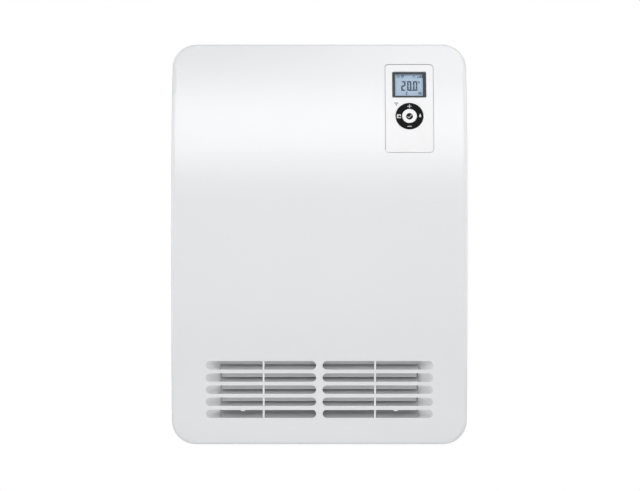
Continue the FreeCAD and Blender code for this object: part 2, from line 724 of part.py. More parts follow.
def outlet_vanes():
    """Grey vanes, notched for the ribs, and the bars that hide the element from above."""
    rows = slot_rows()
    forms = []
    for number, z in enumerate(rows):
        front = z - SLOT_HEIGHT / 2 - VANE_DROP
        form = vane(front)
        if number > 1:
            half = DUCT_SIDE - GUARD_END_GAP
            hung = guard_bar(half, GUARD_SETBACK, front - GUARD_ROOT, rows[number - 1])
            form = form.fuse(hung).removeSplitter()
        forms.append(form)
    bottom = SLOT_TOP_ROW + SLOT_HEIGHT / 2 - TOP_GUARD_DROP
    forms.append(guard_bar(DUCT_SIDE, TOP_GUARD_SETBACK, OUTLET_TOP - GRILLE_WALL, bottom))
    ribs = grille_ribs()
    return [solid for form in forms for solid in cut_all(form, ribs).Solids]


# Blower housing
def ray_to_front(start, direction):
    """How far a point in the housing can move along a direction before it reaches the duct's front."""
    offset = (start[0] - LOWER_AXIS[0], start[1] - LOWER_AXIS[1])
    along = offset[0] * direction[0] + offset[1] * direction[1]
    return -along + math.sqrt(along**2 - math.hypot(*offset) ** 2 + DUCT_FRONT_R**2)


def scroll_plate():
    """A sheet that curls round behind the fan and runs on straight as the duct's floor."""
    foot_angle = EXIT_ANGLE - 90
    foot = polar(FAN, FAN_RADIUS + EXIT_GAP, foot_angle)
    centre = polar(foot, -SCROLL_R, foot_angle)
    flow = polar((0, 0), 1, EXIT_ANGLE + 180)
    reach = ray_to_front(foot, flow)
    angles = (SCROLL_START, (SCROLL_START + foot_angle) / 2, foot_angle)
    inside = [polar(centre, SCROLL_R, angle) for angle in angles]
    outside = [polar(centre, SCROLL_R + DUCT_SHEET, angle) for angle in angles]
    ends = [(y + reach * flow[0], z + reach * flow[1]) for y, z in (inside[2], outside[2])]
    x = -DUCT_SIDE
    edges = [
        arc_yz(x, *inside),
        line_yz(x, inside[2], ends[0]),
        line_yz(x, ends[0], ends[1]),
        line_yz(x, ends[1], outside[2]),
        arc_yz(x, *reversed(outside)),
        line_yz(x, outside[0], inside[0]),
    ]
    return Part.Face(Part.Wire(edges)).extrude(Vector(2 * DUCT_SIDE, 0, 0))


def roof_points():
    """The duct roof's lip, its tongue close to the fan, and its front end."""
    lip = polar(FAN, FAN_RADIUS + TONGUE_LIP_GAP, TONGUE_LIP_ANGLE)
    tongue = polar(FAN, FAN_RADIUS + TONGUE_GAP, TONGUE_ANGLE)
    front = (bow_y(LOWER_AXIS, DUCT_FRONT_R - DUCT_SHEET, OUTLET_TOP), OUTLET_TOP)
    return lip, tongue, front


def roof_frame():
    """The middle of the roof's upper face and its slope."""
    _, tongue, front = roof_points()
    slope = math.atan2(front[1] - tongue[1], front[0] - tongue[0])
    middle = ((tongue[0] + front[0]) / 2, (tongue[1] + front[1]) / 2)
    return polar(middle, DUCT_SHEET, math.degrees(slope) - 90), math.degrees(slope)


def duct_roof():
    """A bent sheet: each leg is made thick on the side away from the fan, and the legs meet in a mitre."""
    lip, tongue, front = roof_points()
    slopes = [math.atan2(end[1] - tongue[1], end[0] - tongue[0]) for end in (lip, front)]
    lip_outside = polar(lip, DUCT_SHEET, math.degrees(slopes[0]) + 90)
    front_outside = polar(front, DUCT_SHEET, math.degrees(slopes[1]) - 90)
    half_angle = (slopes[1] - slopes[0]) % (2 * math.pi) / 2
    corner = polar(tongue, DUCT_SHEET / math.sin(half_angle), math.degrees(slopes[0] + half_angle))
    return across([lip, tongue, front, front_outside, corner, lip_outside], (-DUCT_SIDE, DUCT_SIDE))


def blower_screw_places():
    x = END_OUTSIDE + END_FLANGE / 2
    heights = (BLOWER_REAR + BLOWER_SCREW_INSET, BLOWER_TOP - BLOWER_SCREW_INSET)
    return [(side * x, z) for side in SIDES for z in heights]


def end_plate(side):
    top = OUTLET_TOP + END_MARGIN
    bottom = OUTLET_BOTTOM - END_MARGIN
    x = min(side * DUCT_SIDE, side * END_OUTSIDE)
    rear = -PANEL_FRONT
    shoulder = (FAN[0] - END_SHOULDER, BLOWER_TOP)
    front = [(bow_y(LOWER_AXIS, DUCT_FRONT_R, z), z) for z in (top, bottom)]
    edges = [
        line_yz(x, (rear, BLOWER_REAR), (rear, BLOWER_TOP)),
        line_yz(x, (rear, BLOWER_TOP), shoulder),
        line_yz(x, shoulder, front[0]),
        bow_arc(x, LOWER_AXIS, DUCT_FRONT_R, top, bottom),
        line_yz(x, front[1], (rear, BLOWER_REAR)),
    ]
    web = Part.Face(Part.Wire(edges)).extrude(Vector(END_SHEET, 0, 0))
    foot_x = limits(side * DUCT_SIDE, side * (END_OUTSIDE + END_FLANGE))
    foot = box(foot_x, (rear - END_SHEET, rear), (BLOWER_REAR, BLOWER_TOP))
    span = (PANEL_FRONT - CUT_PAST, PANEL_FRONT + END_SHEET + CUT_PAST)
    holes = [wall_rod(BLOWER_SCREW_R, px, pz, span) for px, pz in blower_screw_places() if px * side > 0]
    return cut_all(fuse_all([web, foot]), holes)


def left_end_plate():
    """The plate at the fan's free end, with a hole for the bearing and a gap for the element's tabs."""
    web = (-END_OUTSIDE - CUT_PAST, -DUCT_SIDE + CUT_PAST)
    middles = bar_middles()
    tabs = (middles[0] - TAB_HOLE_GAP, middles[-1] + TAB_HOLE_GAP)
    depth_half = TAB_WIDTH / 2 + TAB_HOLE_GAP
    tab_hole = box(web, tabs, (-ELEMENT_DEPTH / 2 - depth_half, -ELEMENT_DEPTH / 2 + depth_half))
    return cut_all(end_plate(-1), [cross_rod(RUBBER_NECK_R, web), moved(tab_hole, element_place())])


def right_end_plate():
    web = (DUCT_SIDE - CUT_PAST, END_OUTSIDE + CUT_PAST)
    screws = [cross_rod(MOTOR_SCREW_R, web, place) for place in motor_screw_places()]
    return cut_all(end_plate(1), [cross_rod(SHAFT_HOLE_R, web)] + screws)


def blower_screws():
    screws = []
    seat = PANEL_FRONT + END_SHEET
    for x, z in blower_screw_places():
        head = wall_rod(BLOWER_SCREW_HEAD_R, x, z, (seat, seat + BLOWER_SCREW_HEAD))
        screws.append(head.fuse(wall_rod(BLOWER_SCREW_R, x, z, (seat - BLOWER_SCREW_LENGTH, seat))))
    return screws


# Cross-flow fan and its free end
def impeller():
    inner = FAN_RADIUS - BLADE_WIDTH
    bulge = polar(FAN, inner + BLADE_WIDTH / 2, BLADE_BULGE)
    edges = [arc_yz(-FAN_END, polar(FAN, inner, 0), bulge, polar(FAN, FAN_RADIUS, BLADE_LEAN))]
    second = edges[0].copy()
    second.rotate(Vector(0, *FAN), X_AXIS, BLADE_SHEET_ANGLE)
    ends = [(a.Point, b.Point) for a, b in zip(edges[0].Vertexes, second.Vertexes)]
    edges += [second] + [Part.makeLine(*pair) for pair in ends]
    blade = Part.Face(Part.Wire(Part.__sortEdges__(edges))).extrude(Vector(2 * FAN_END, 0, 0))
    pieces = []
    for number in range(BLADE_COUNT):
        copy = blade.copy()
        copy.rotate(Vector(0, *FAN), X_AXIS, number * 360 / BLADE_COUNT)
        pieces.append(copy)
    spacing = 2 * FAN_END / (FAN_RINGS + 1)
    for number in range(FAN_RINGS):
        middle = -FAN_END + (number + 1) * spacing
        span = (middle - FAN_RING / 2, middle + FAN_RING / 2)
        pieces.append(cross_rod(FAN_RADIUS, span).cut(cross_rod(inner, span)))
    for side in SIDES:
        pieces.append(cross_rod(FAN_RADIUS, limits(side * FAN_END, side * (FAN_END - FAN_DISC))))
        pieces.append(cross_rod(HUB_R, limits(side * FAN_END, side * (FAN_END - HUB_LENGTH))))
    bore = (FAN_END - HUB_LENGTH, FAN_END)
    bores = [cross_rod(SHAFT_R, limits(side * bore[0], side * bore[1])) for side in SIDES]
    return cut_all(fuse_all(pieces), bores)


def bearing_span(length):
    """The limits of a piece that is centred on the left end plate."""
    middle = -DUCT_SIDE - END_SHEET / 2
    return (middle - length / 2, middle + length / 2)


def stub_shaft():
    return cross_rod(SHAFT_R, (bearing_span(BUSH_LENGTH)[0] - SHAFT_OVERHANG, -FAN_END + HUB_LENGTH))


def bearing_bush():
    span = bearing_span(BUSH_LENGTH)
    return cross_rod(BUSH_R, span).cut(cross_rod(SHAFT_R + RUN_GAP, span))


def bearing_rubber():
    span = bearing_span(RUBBER_LENGTH)
    groove = bearing_span(END_SHEET)
    ring = cross_rod(RUBBER_R, groove).cut(cross_rod(RUBBER_NECK_R, groove))
    return cross_rod(RUBBER_R, span).cut(ring).cut(cross_rod(BUSH_R, span))


# Shaded-pole motor
def motor_screw_places():
    return [(FAN[0] + side * MOTOR_SCREW_X, FAN[1]) for side in SIDES]


def motor_stator():
    half = STACK_WIDTH / 2
    span = (STACK_START, STACK_END)
    stack = box(span, (FAN[0] - half, FAN[0] + half), (LEG_BOTTOM, FAN[1] + STACK_ABOVE))
    window_y = (FAN[0] - WINDOW_WIDTH / 2, FAN[0] + WINDOW_WIDTH / 2)
    window = box(span, window_y, (LEG_TOP, LEG_TOP + WINDOW_HEIGHT))
    screws = [cross_rod(MOTOR_SCREW_R, span, place) for place in motor_screw_places()]
    return cut_all(stack, [window, cross_rod(POLE_BORE_R, span)] + screws)


def leg_box(grow, half):
    """A box round the stack's lower leg, along Y."""
    return box(
        (STACK_START - grow, STACK_END + grow),
        (FAN[0] - half, FAN[0] + half),
        (LEG_BOTTOM - grow, LEG_TOP + grow),
    )


def motor_bobbin():
    half = WINDOW_WIDTH / 2
    core = leg_box(BOBBIN_GAP + BOBBIN_WALL, half)
    winding_room = leg_box(COIL_BUILD + 2 * BOBBIN_WALL, half - BOBBIN_FLANGE)
    flanges = leg_box(COIL_BUILD + BOBBIN_WALL, half).cut(winding_room)
    return core.fuse(flanges).removeSplitter().cut(leg_box(BOBBIN_GAP, half))


def motor_coil():
    half = WINDOW_WIDTH / 2 - BOBBIN_FLANGE
    block = leg_box(COIL_BUILD, half)
    along = [edge for edge in block.Edges if abs(edge.tangentAt(edge.FirstParameter).y) > PARALLEL]
    return block.makeFillet(COIL_ROUND, along).cut(leg_box(BOBBIN_GAP + BOBBIN_WALL, half))


def bearing_bridge(start, stands):
    """A bar across the motor with a bearing boss, on pillars between the given pairs of limits."""
    half = MOTOR_SCREW_X + PILLAR_R
    bar = (start, start + BRIDGE_SHEET)
    middle = start + BRIDGE_SHEET / 2
    boss = (middle - MOTOR_BUSH_LENGTH / 2, middle + MOTOR_BUSH_LENGTH / 2)
    height = (FAN[1] - BRIDGE_HEIGHT / 2, FAN[1] + BRIDGE_HEIGHT / 2)
    pieces = [box(bar, (FAN[0] - half, FAN[0] + half), height), cross_rod(BOSS_R, boss)]
    pieces += [cross_rod(PILLAR_R, span, place) for span in stands for place in motor_screw_places()]
    reach = (start - MOTOR_BUSH_LENGTH, start + BRIDGE_SHEET + MOTOR_BUSH_LENGTH)
    holes = [cross_rod(MOTOR_SCREW_R, reach, place) for place in motor_screw_places()]
    return cut_all(fuse_all(pieces), holes + [cross_rod(MOTOR_BUSH_R, reach)])


def inner_bearing_bridge():
    stands = [(END_OUTSIDE, BRIDGE_START), (BRIDGE_START + BRIDGE_SHEET, STACK_START)]
    return bearing_bridge(BRIDGE_START, stands)


def outer_bridge_start():
    return STACK_END + BRIDGE_STANDOFF


def outer_bearing_bridge():
    return bearing_bridge(outer_bridge_start(), [(STACK_END, outer_bridge_start())])


def motor_bushes():
    bushes = []
    for start in (BRIDGE_START, outer_bridge_start()):
        middle = start + BRIDGE_SHEET / 2
        span = (middle - MOTOR_BUSH_LENGTH / 2, middle + MOTOR_BUSH_LENGTH / 2)
        bushes.append(cross_rod(MOTOR_BUSH_R, span).cut(cross_rod(SHAFT_R + RUN_GAP, span)))
    return bushes


def motor_shaft():
    end = outer_bridge_start() + (BRIDGE_SHEET + MOTOR_BUSH_LENGTH) / 2 + SHAFT_OVERHANG
    return cross_rod(SHAFT_R, (FAN_END - HUB_LENGTH, end))


def motor_rotor():
    span = (STACK_START - ROTOR_OVERHANG, STACK_END + ROTOR_OVERHANG)
    return cross_rod(POLE_BORE_R - ROTOR_GAP, span).cut(cross_rod(SHAFT_R, span))


def motor_screws():
    seat = outer_bridge_start() + BRIDGE_SHEET
    screws = []
    for place in motor_screw_places():
        head = cross_rod(MOTOR_SCREW_HEAD_R, (seat, seat + MOTOR_SCREW_HEAD), place)
        screws.append(head.fuse(cross_rod(MOTOR_SCREW_R, (DUCT_SIDE, seat), place)))
    return screws


# Heating element, drawn with x across, y up and z towards the room from its front face
def element_place():
    radius = DUCT_FRONT_R - ELEMENT_GAP
    drop = math.asin((LOWER_AXIS[1] - ELEMENT_Z) / radius)
    place = (LOWER_AXIS[0] - radius * math.cos(drop), LOWER_AXIS[1] - radius * math.sin(drop))
    return Placement(Vector(0, *place), Rotation(X_AXIS, 90 + math.degrees(drop)))


def fin_height():
    return (ELEMENT_HEIGHT - 2 * RAIL_HEIGHT - BAR_COUNT * BAR_HEIGHT) / (BAR_COUNT + 1)


def fin_floors():
    """The lower edge of each row of fins."""
    lowest = RAIL_HEIGHT - ELEMENT_HEIGHT / 2
    return [lowest + row * (fin_height() + BAR_HEIGHT) for row in range(BAR_COUNT + 1)]


def bar_middles():
    return [floor + fin_height() + BAR_HEIGHT / 2 for floor in fin_floors()[:-1]]


def bar_boxes():
    half = DUCT_SIDE - BAR_END_GAP
    bars = [(middle - BAR_HEIGHT / 2, middle + BAR_HEIGHT / 2) for middle in bar_middles()]
    rails = [limits(side * ELEMENT_HEIGHT / 2, side * (ELEMENT_HEIGHT / 2 - RAIL_HEIGHT)) for side in SIDES]
    return [box((-half, half), y, (BAR_INSET - ELEMENT_DEPTH, -BAR_INSET)) for y in bars + rails]


def tab_boxes():
    x = (-END_OUTSIDE - TAB_REACH, BAR_END_GAP - DUCT_SIDE)
    z = (-(ELEMENT_DEPTH + TAB_WIDTH) / 2, (TAB_WIDTH - ELEMENT_DEPTH) / 2)
    return [box(x, (middle - TAB_SHEET / 2, middle + TAB_SHEET / 2), z) for middle in bar_middles()]


def fin_strip(floor):
    """One folded strip: a wave whose flat feet and tops lie against the bars above and below it."""
    pitch = FIN_FOOT + FIN_TOP + 2 * FIN_RUN
    folds = int((2 * (DUCT_SIDE - HOLDER_LENGTH) - FIN_FOOT) / pitch)
    height = fin_height()
    upper = []
    lower = []
    for fold in range(folds):
        rise = FIN_FOOT + fold * pitch
        top = rise + FIN_RUN
        fall = top + FIN_TOP
        upper += [(rise, FIN_SHEET), (top, height), (fall, height), (fall + FIN_RUN, FIN_SHEET)]
        lower += [(rise + FIN_LEG, 0), (top + FIN_LEG, height - FIN_SHEET)]
        lower += [(fall - FIN_LEG, height - FIN_SHEET), (fall + FIN_RUN - FIN_LEG, 0)]
    end = folds * pitch + FIN_FOOT
    outline = [(0, FIN_SHEET)] + upper + [(end, FIN_SHEET), (end, 0)] + lower[::-1] + [(0, 0)]
    corners = [Vector(x - end / 2, floor + y, -ELEMENT_DEPTH) for x, y in outline]
    return Part.Face(Part.makePolygon(corners + corners[:1])).extrude(Vector(0, 0, ELEMENT_DEPTH))


def on_element(shapes):
    return [moved(shape, element_place()) for shape in shapes]


def heater_bars():
    return on_element(bar_boxes())


def heater_fins():
    return on_element([fin_strip(floor) for floor in fin_floors()])


def heater_ends():
    half = ELEMENT_HEIGHT / 2 + HOLDER_LIP
    z = (-ELEMENT_DEPTH - HOLDER_LIP, HOLDER_LIP)
    spans = [limits(side * DUCT_SIDE, side * (DUCT_SIDE - HOLDER_LENGTH)) for side in SIDES]
    ends = [box(x, (-half, half), z) for x in spans]
    return on_element([cut_all(end, bar_boxes() + tab_boxes()) for end in ends])


def heater_tabs():
    return on_element(tab_boxes())


def thermal_cutout():
    """A round switch on a foot that lies on the duct's roof."""
    middle, slope = roof_frame()
    foot = box(
        (-CUTOUT_FOOT / 2, CUTOUT_FOOT / 2),
        (-CUTOUT_FOOT_WIDTH / 2, CUTOUT_FOOT_WIDTH / 2),
        (0, CUTOUT_FOOT_SHEET),
    )
    body = foot.fuse(Part.makeCylinder(CUTOUT_R, CUTOUT_HEIGHT)).removeSplitter()
    return moved(body, Placement(Vector(CUTOUT_X, *middle), Rotation(X_AXIS, slope - 180)))


# Power board and supply terminals
def power_frame(shape):
    """Places a shape whose Z axis starts at the power board's face."""
    stood = facing_room(shape, POWER_X, CASE_BOTTOM + POWER_ABOVE_BOTTOM)
    stood.translate(Vector(0, -(PANEL_FRONT + POST_HEIGHT + POWER_BOARD), 0))
    return stood


def post_places():
    x = POWER_WIDTH / 2 - POST_INSET
    y = POWER_HEIGHT / 2 - POST_INSET
    return [(side * x, level * y) for side in SIDES for level in SIDES]


def post_rods(radius, start, end):
    return [rod(radius, Vector(x, y, start), Vector(x, y, end)) for x, y in post_places()]


def power_board():
    board = slab(POWER_WIDTH, POWER_HEIGHT, POWER_CORNER, (-POWER_BOARD, 0))
    return power_frame(cut_all(board, post_rods(BOARD_SCREW_R, -POWER_BOARD, 0)))


def board_posts():
    posts = post_rods(POST_R, -POWER_BOARD - POST_HEIGHT, -POWER_BOARD)
    holes = post_rods(BOARD_SCREW_R, -BOARD_SCREW_GRIP, 0)
    return [power_frame(post.cut(hole)) for post, hole in zip(posts, holes)]


def board_screws():
    heads = post_rods(BOARD_SCREW_HEAD_R, 0, BOARD_SCREW_HEAD)
    shanks = post_rods(BOARD_SCREW_R, -BOARD_SCREW_GRIP, 0)
    return [power_frame(head.fuse(shank)) for head, shank in zip(heads, shanks)]


def relays():
    shapes = []
    x = POWER_WIDTH / 2 - POST_INSET - POST_R - RELAY_GAP - RELAY_WIDTH / 2
    for side in SIDES:
        relay = slab(RELAY_WIDTH, RELAY_HEIGHT, RELAY_EDGE, (0, RELAY_DEPTH))
        relay.translate(Vector(x, side * (RELAY_HEIGHT + RELAY_GAP) / 2, 0))
        shapes.append(power_frame(relay))
    return shapes


def transformer():
    """A coil block with an iron core through it."""
    coil = slab(TRANSFORMER_WIDTH, TRANSFORMER_HEIGHT, RELAY_EDGE, (0, TRANSFORMER_DEPTH))
    core_half = TRANSFORMER_WIDTH / 2 + TRANSFORMER_CORE_STEP
    core = box(
        (-core_half, core_half),
        (-TRANSFORMER_CORE / 2, TRANSFORMER_CORE / 2),
        (0, TRANSFORMER_DEPTH + TRANSFORMER_CORE_STEP),
    )
    body = coil.fuse(core).removeSplitter()
    body.translate(Vector(-POWER_WIDTH / 2 + POST_INSET + POST_R + RELAY_GAP + core_half, 0, 0))
    return power_frame(body)


def smoothing_capacitor():
    can = Part.makeCylinder(CAPACITOR_R, CAPACITOR_HEIGHT)
    rim = [edge for edge in can.Edges if edge.Closed and edge.CenterOfMass.z > CAPACITOR_HEIGHT / 2]
    can = can.makeChamfer(CAPACITOR_EDGE, rim)
    can.translate(Vector(0, POWER_HEIGHT / 2 - POST_INSET - CAPACITOR_R, 0))
    return power_frame(can)


def terminal_frame(shape):
    stood = facing_room(shape, TERMINAL_X, CASE_BOTTOM + TERMINAL_ABOVE_BOTTOM)
    stood.translate(Vector(0, -PANEL_FRONT, 0))
    return stood


def pole_places():
    first = -(TERMINAL_POLES - 1) / 2 * TERMINAL_PITCH
    return [first + pole * TERMINAL_PITCH for pole in range(TERMINAL_POLES)]


def terminal_screw_rods(start, end):
    y = TERMINAL_SCREW_Y
    return [rod(TERMINAL_SCREW_R, Vector(x, y, start), Vector(x, y, end)) for x in pole_places()]


def terminal_block():
    width = TERMINAL_POLES * TERMINAL_PITCH + 2 * TERMINAL_WALL
    block = slab(width, TERMINAL_HEIGHT, TERMINAL_WALL, (0, TERMINAL_DEPTH))
    wires = [
        rod(
            TERMINAL_WIRE_R,
            Vector(x, -TERMINAL_HEIGHT, TERMINAL_DEPTH / 2 - TERMINAL_WALL),
            Vector(x, 0, TERMINAL_DEPTH / 2 - TERMINAL_WALL),
        )
        for x in pole_places()
    ]
    screw_floor = TERMINAL_DEPTH - TERMINAL_SCREW_SINK - TERMINAL_SCREW_DEPTH
    screws = terminal_screw_rods(screw_floor, TERMINAL_DEPTH)
    return terminal_frame(cut_all(block, wires + screws))


def terminal_screws():
    top = TERMINAL_DEPTH - TERMINAL_SCREW_SINK
    return [terminal_frame(screw) for screw in terminal_screw_rods(top - TERMINAL_SCREW_DEPTH, top)]


def earth_stud():
    return wall_rod(EARTH_R, EARTH_X, EARTH_Z, (PANEL_FRONT, PANEL_FRONT + EARTH_LENGTH))


def earth_nut():
    corners = [Vector(*polar((0, 0), EARTH_NUT_R, 60 * corner), 0) for corner in range(6)]
    blank = Part.Face(Part.makePolygon(corners + corners[:1])).extrude(Vector(0, 0, EARTH_NUT_HEIGHT))
    nut = facing_room(blank.cut(Part.makeCylinder(EARTH_R, EARTH_NUT_HEIGHT)), EARTH_X, EARTH_Z)
    nut.translate(Vector(0, -PANEL_FRONT, 0))
    return nut


# Room temperature sensor
def sensor_bead(radius):
    z = CASE_BOTTOM + SENSOR_ABOVE_BOTTOM
    tip = PANEL_FRONT + SENSOR_POST
    return wall_rod(radius, SENSOR_X, z, (tip - SENSOR_SEAT, tip - SENSOR_SEAT + SENSOR_LENGTH))


def sensor_post():
    span = (PANEL_FRONT, PANEL_FRONT + SENSOR_POST)
    post = slab(SENSOR_POST_WIDTH, SENSOR_POST_WIDTH, SENSOR_POST_CORNER, span)
    return facing_room(post, SENSOR_X, CASE_BOTTOM + SENSOR_ABOVE_BOTTOM).cut(sensor_bead(SENSOR_R))


def room_sensor():
    return sensor_bead(SENSOR_R)


# Control unit, in the fascia's frame
def bow_cylinder(offset):
    """Everything below the upper bow's surface, moved out by an offset."""
    return rod(UPPER_BOW + offset, Vector(-CASE_WIDTH, 0, -UPPER_BOW), Vector(CASE_WIDTH, 0, -UPPER_BOW))


def under_bow(shape, offset):
    return shape.common(bow_cylinder(offset))


def bow_sheet(shape, offset, thickness):
    """The part of a shape in a sheet below the bow's surface."""
    return under_bow(shape, offset).cut(bow_cylinder(offset - thickness))


def bow_height(offset, y):
    return math.sqrt((UPPER_BOW + offset) ** 2 - y**2) - UPPER_BOW


def fascia_slab(grow, z):
    return slab(FASCIA_WIDTH + 2 * grow, FASCIA_LENGTH + 2 * grow, FASCIA_CORNER + grow, z)


def lens_slab(grow):
    block = slab(LENS_WIDTH + 2 * grow, LENS_HEIGHT + 2 * grow, LENS_CORNER, (-BOARD_DEPTH, BOARD_DEPTH))
    block.translate(Vector(0, LENS_Y, 0))
    return block


def control_screw_rods(radius, start, end):
    x = FASCIA_WIDTH / 2 - CONTROL_SCREW_INSET
    y = FASCIA_LENGTH / 2 - CONTROL_SCREW_INSET
    places = [(side * x, level * y) for side in SIDES for level in SIDES]
    return [rod(radius, Vector(*place, start), Vector(*place, end)) for place in places]


def key_rod(radius, z):
    return rod(radius, Vector(0, KEY_Y, z[0]), Vector(0, KEY_Y, z[1]))


def control_fascia():
    inside = FASCIA_PROUD - FASCIA_WALL
    body = under_bow(fascia_slab(0, (-CONTROL_SEAM, CONTROL_SEAM)), FASCIA_PROUD)
    flange = bow_sheet(fascia_slab(FLANGE_WIDTH, (-CONTROL_SEAM, 0)), -CASE_SHEET - FLANGE_GAP, FLANGE_WALL)
    hollow = under_bow(fascia_slab(-FASCIA_SKIRT, (-CONTROL_SEAM, CONTROL_SEAM)), inside)
    body = body.fuse(flange).cut(hollow)
    bosses = control_screw_rods(CONTROL_BOSS_R, -BOARD_DEPTH, 0)
    bosses = [under_bow(boss, FASCIA_PROUD - FASCIA_WALL / 2) for boss in bosses]
    body = fuse_all([body] + bosses)
    lens_floor = FASCIA_PROUD - LENS_SINK - LENS_WALL
    holes = control_screw_rods(CONTROL_SCREW_R, -BOARD_DEPTH, CONTROL_SCREW_GRIP - BOARD_DEPTH)
    holes.append(lens_slab(LENS_GAP).cut(bow_cylinder(lens_floor)))
    holes.append(lens_slab(-LENS_LEDGE))
    holes.append(key_rod(KEY_RING_R + KEY_GAP, (-BOARD_DEPTH, BOARD_DEPTH)))
    return moved(cut_all(body, holes), FASCIA_PLACE)


def display_lens():
    return moved(bow_sheet(lens_slab(0), FASCIA_PROUD - LENS_SINK, LENS_WALL), FASCIA_PLACE)


def lcd_slab(grow, z):
    shrink = 2 * (LCD_SIDE - grow)
    block = slab(LENS_WIDTH - shrink, LENS_HEIGHT - shrink, LENS_CORNER, z)
    block.translate(Vector(0, LENS_Y, 0))
    return block


def lcd_top():
    return bow_height(FASCIA_PROUD - FASCIA_WALL, LENS_Y + LENS_HEIGHT / 2) - LCD_GAP


def lcd_panel():
    return moved(lcd_slab(0, (lcd_top() - LCD_SHEET, lcd_top())), FASCIA_PLACE)


def lcd_holder():
    z = (-BOARD_DEPTH, lcd_top() - LCD_SHEET)
    return moved(lcd_slab(0, z).cut(lcd_slab(-LCD_HOLDER_WALL, z)), FASCIA_PLACE)


def key_shoulder():
    """The level of the ring keys' retaining flange, below the fascia where it comes down furthest."""
    return bow_height(FASCIA_PROUD - FASCIA_WALL, abs(KEY_Y) + KEY_RING_R + KEY_FLANGE) - KEY_PLAY


def rounded_top(key, offset):
    """Rounds the edges of a key's face, which lies on the bow moved out by an offset."""
    radius = UPPER_BOW + offset
    top = [
        edge
        for edge in key.Edges
        if all(abs(math.hypot(p.y, p.z + UPPER_BOW) - radius) < CLOSE for p in edge.discretize(4))
    ]
    return key.makeFillet(KEY_EDGE, top)


def ring_key(quarter):
    """A quarter of the key ring; quarter 0 is on the right, and they go round anticlockwise."""
    shoulder = key_shoulder()
    under = shoulder - KEY_FLANGE_WALL
    above = KEY_PROUD + CUT_PAST
    ring = key_rod(KEY_RING_R, (under, above))
    ring = ring.fuse(key_rod(KEY_RING_R + KEY_FLANGE, (under, shoulder)))
    ring = ring.cut(key_rod(KEY_RING_INNER, (under, above)))
    ring = rounded_top(under_bow(ring, KEY_PROUD), KEY_PROUD)
    tip = KEY_GAP / math.sqrt(2)
    reach = 2 * KEY_RING_R
    corners = [Vector(tip, 0, under), Vector(tip + reach, -reach, under), Vector(tip + reach, reach, under)]
    wedge = Part.Face(Part.makePolygon(corners + corners[:1])).extrude(Vector(0, 0, BOARD_DEPTH))
    wedge.rotate(Vector(), Z_AXIS, 90 * quarter)
    wedge.translate(Vector(0, KEY_Y, 0))
    x, y = polar((0, KEY_Y), KEY_STEM_CIRCLE, 90 * quarter)
    stem = rod(KEY_STEM_R, Vector(x, y, KEY_STEM_END), Vector(x, y, under))
    return moved(ring.common(wedge).fuse(stem), FASCIA_PLACE)


def mode_key():
    return ring_key(0)


def plus_key():
    return ring_key(1)


def menu_key():
    return ring_key(2)


def minus_key():
    return ring_key(3)


def ok_key():
    """The round key in the middle, held in by a flange under the ring keys."""
    flange_top = key_shoulder() - KEY_FLANGE_WALL - KEY_TRAVEL - KEY_PLAY
    under = flange_top - KEY_FLANGE_WALL
    face = under_bow(key_rod(KEY_RING_INNER - KEY_GAP, (under, OK_PROUD + CUT_PAST)), OK_PROUD)
    flange = key_rod(KEY_STEM_CIRCLE - KEY_STEM_R - KEY_GAP, (under, flange_top))
    stem = key_rod(KEY_STEM_R, (KEY_STEM_END, under))
    return moved(fuse_all([rounded_top(face, OK_PROUD), flange, stem]), FASCIA_PLACE)


def key_mat():
    """A rubber sheet on the board with a dome under each key."""
    floor = MAT_WALL - BOARD_DEPTH
    pieces = [key_rod(KEY_RING_R + MAT_MARGIN, (-BOARD_DEPTH, floor))]
    pieces.append(key_rod(DOME_R, (floor, floor + DOME_HEIGHT)))
    for quarter in range(4):
        x, y = polar((0, KEY_Y), KEY_STEM_CIRCLE, 90 * quarter)
        pieces.append(rod(DOME_R, Vector(x, y, floor), Vector(x, y, floor + DOME_HEIGHT)))
    return moved(fuse_all(pieces), FASCIA_PLACE)


def control_board():
    board = fascia_slab(-FASCIA_SKIRT - BOARD_GAP, (-BOARD_REAR, -BOARD_DEPTH))
    holes = control_screw_rods(CONTROL_SCREW_R + SCREW_CLEARANCE, -BOARD_REAR, -BOARD_DEPTH)
    return moved(cut_all(board, holes), FASCIA_PLACE)


def control_cover():
    floor = COVER_WALL - CONTROL_REAR
    shell = fascia_slab(0, (-CONTROL_REAR, -CONTROL_SEAM)).cut(fascia_slab(-COVER_WALL, (floor, 0)))
    posts = control_screw_rods(CONTROL_POST_R, -CONTROL_REAR, -BOARD_REAR)
    holes = control_screw_rods(CONTROL_SCREW_R + SCREW_CLEARANCE, -CONTROL_REAR, -BOARD_REAR)
    notch_half = CABLE_NOTCH_WIDTH / 2
    edge = -FASCIA_LENGTH / 2
    wall = (edge, edge + COVER_WALL)
    notch = box((-notch_half, notch_half), wall, (floor, floor + CABLE_NOTCH_HEIGHT))
    return moved(cut_all(fuse_all([shell] + posts), holes + [notch]), FASCIA_PLACE)


def control_screws():
    heads = control_screw_rods(CONTROL_SCREW_HEAD_R, -CONTROL_REAR - CONTROL_SCREW_HEAD, -CONTROL_REAR)
    shanks = control_screw_rods(CONTROL_SCREW_R, -CONTROL_REAR, CONTROL_SCREW_GRIP - BOARD_DEPTH)
    return [moved(head.fuse(shank), FASCIA_PLACE) for head, shank in zip(heads, shanks)]


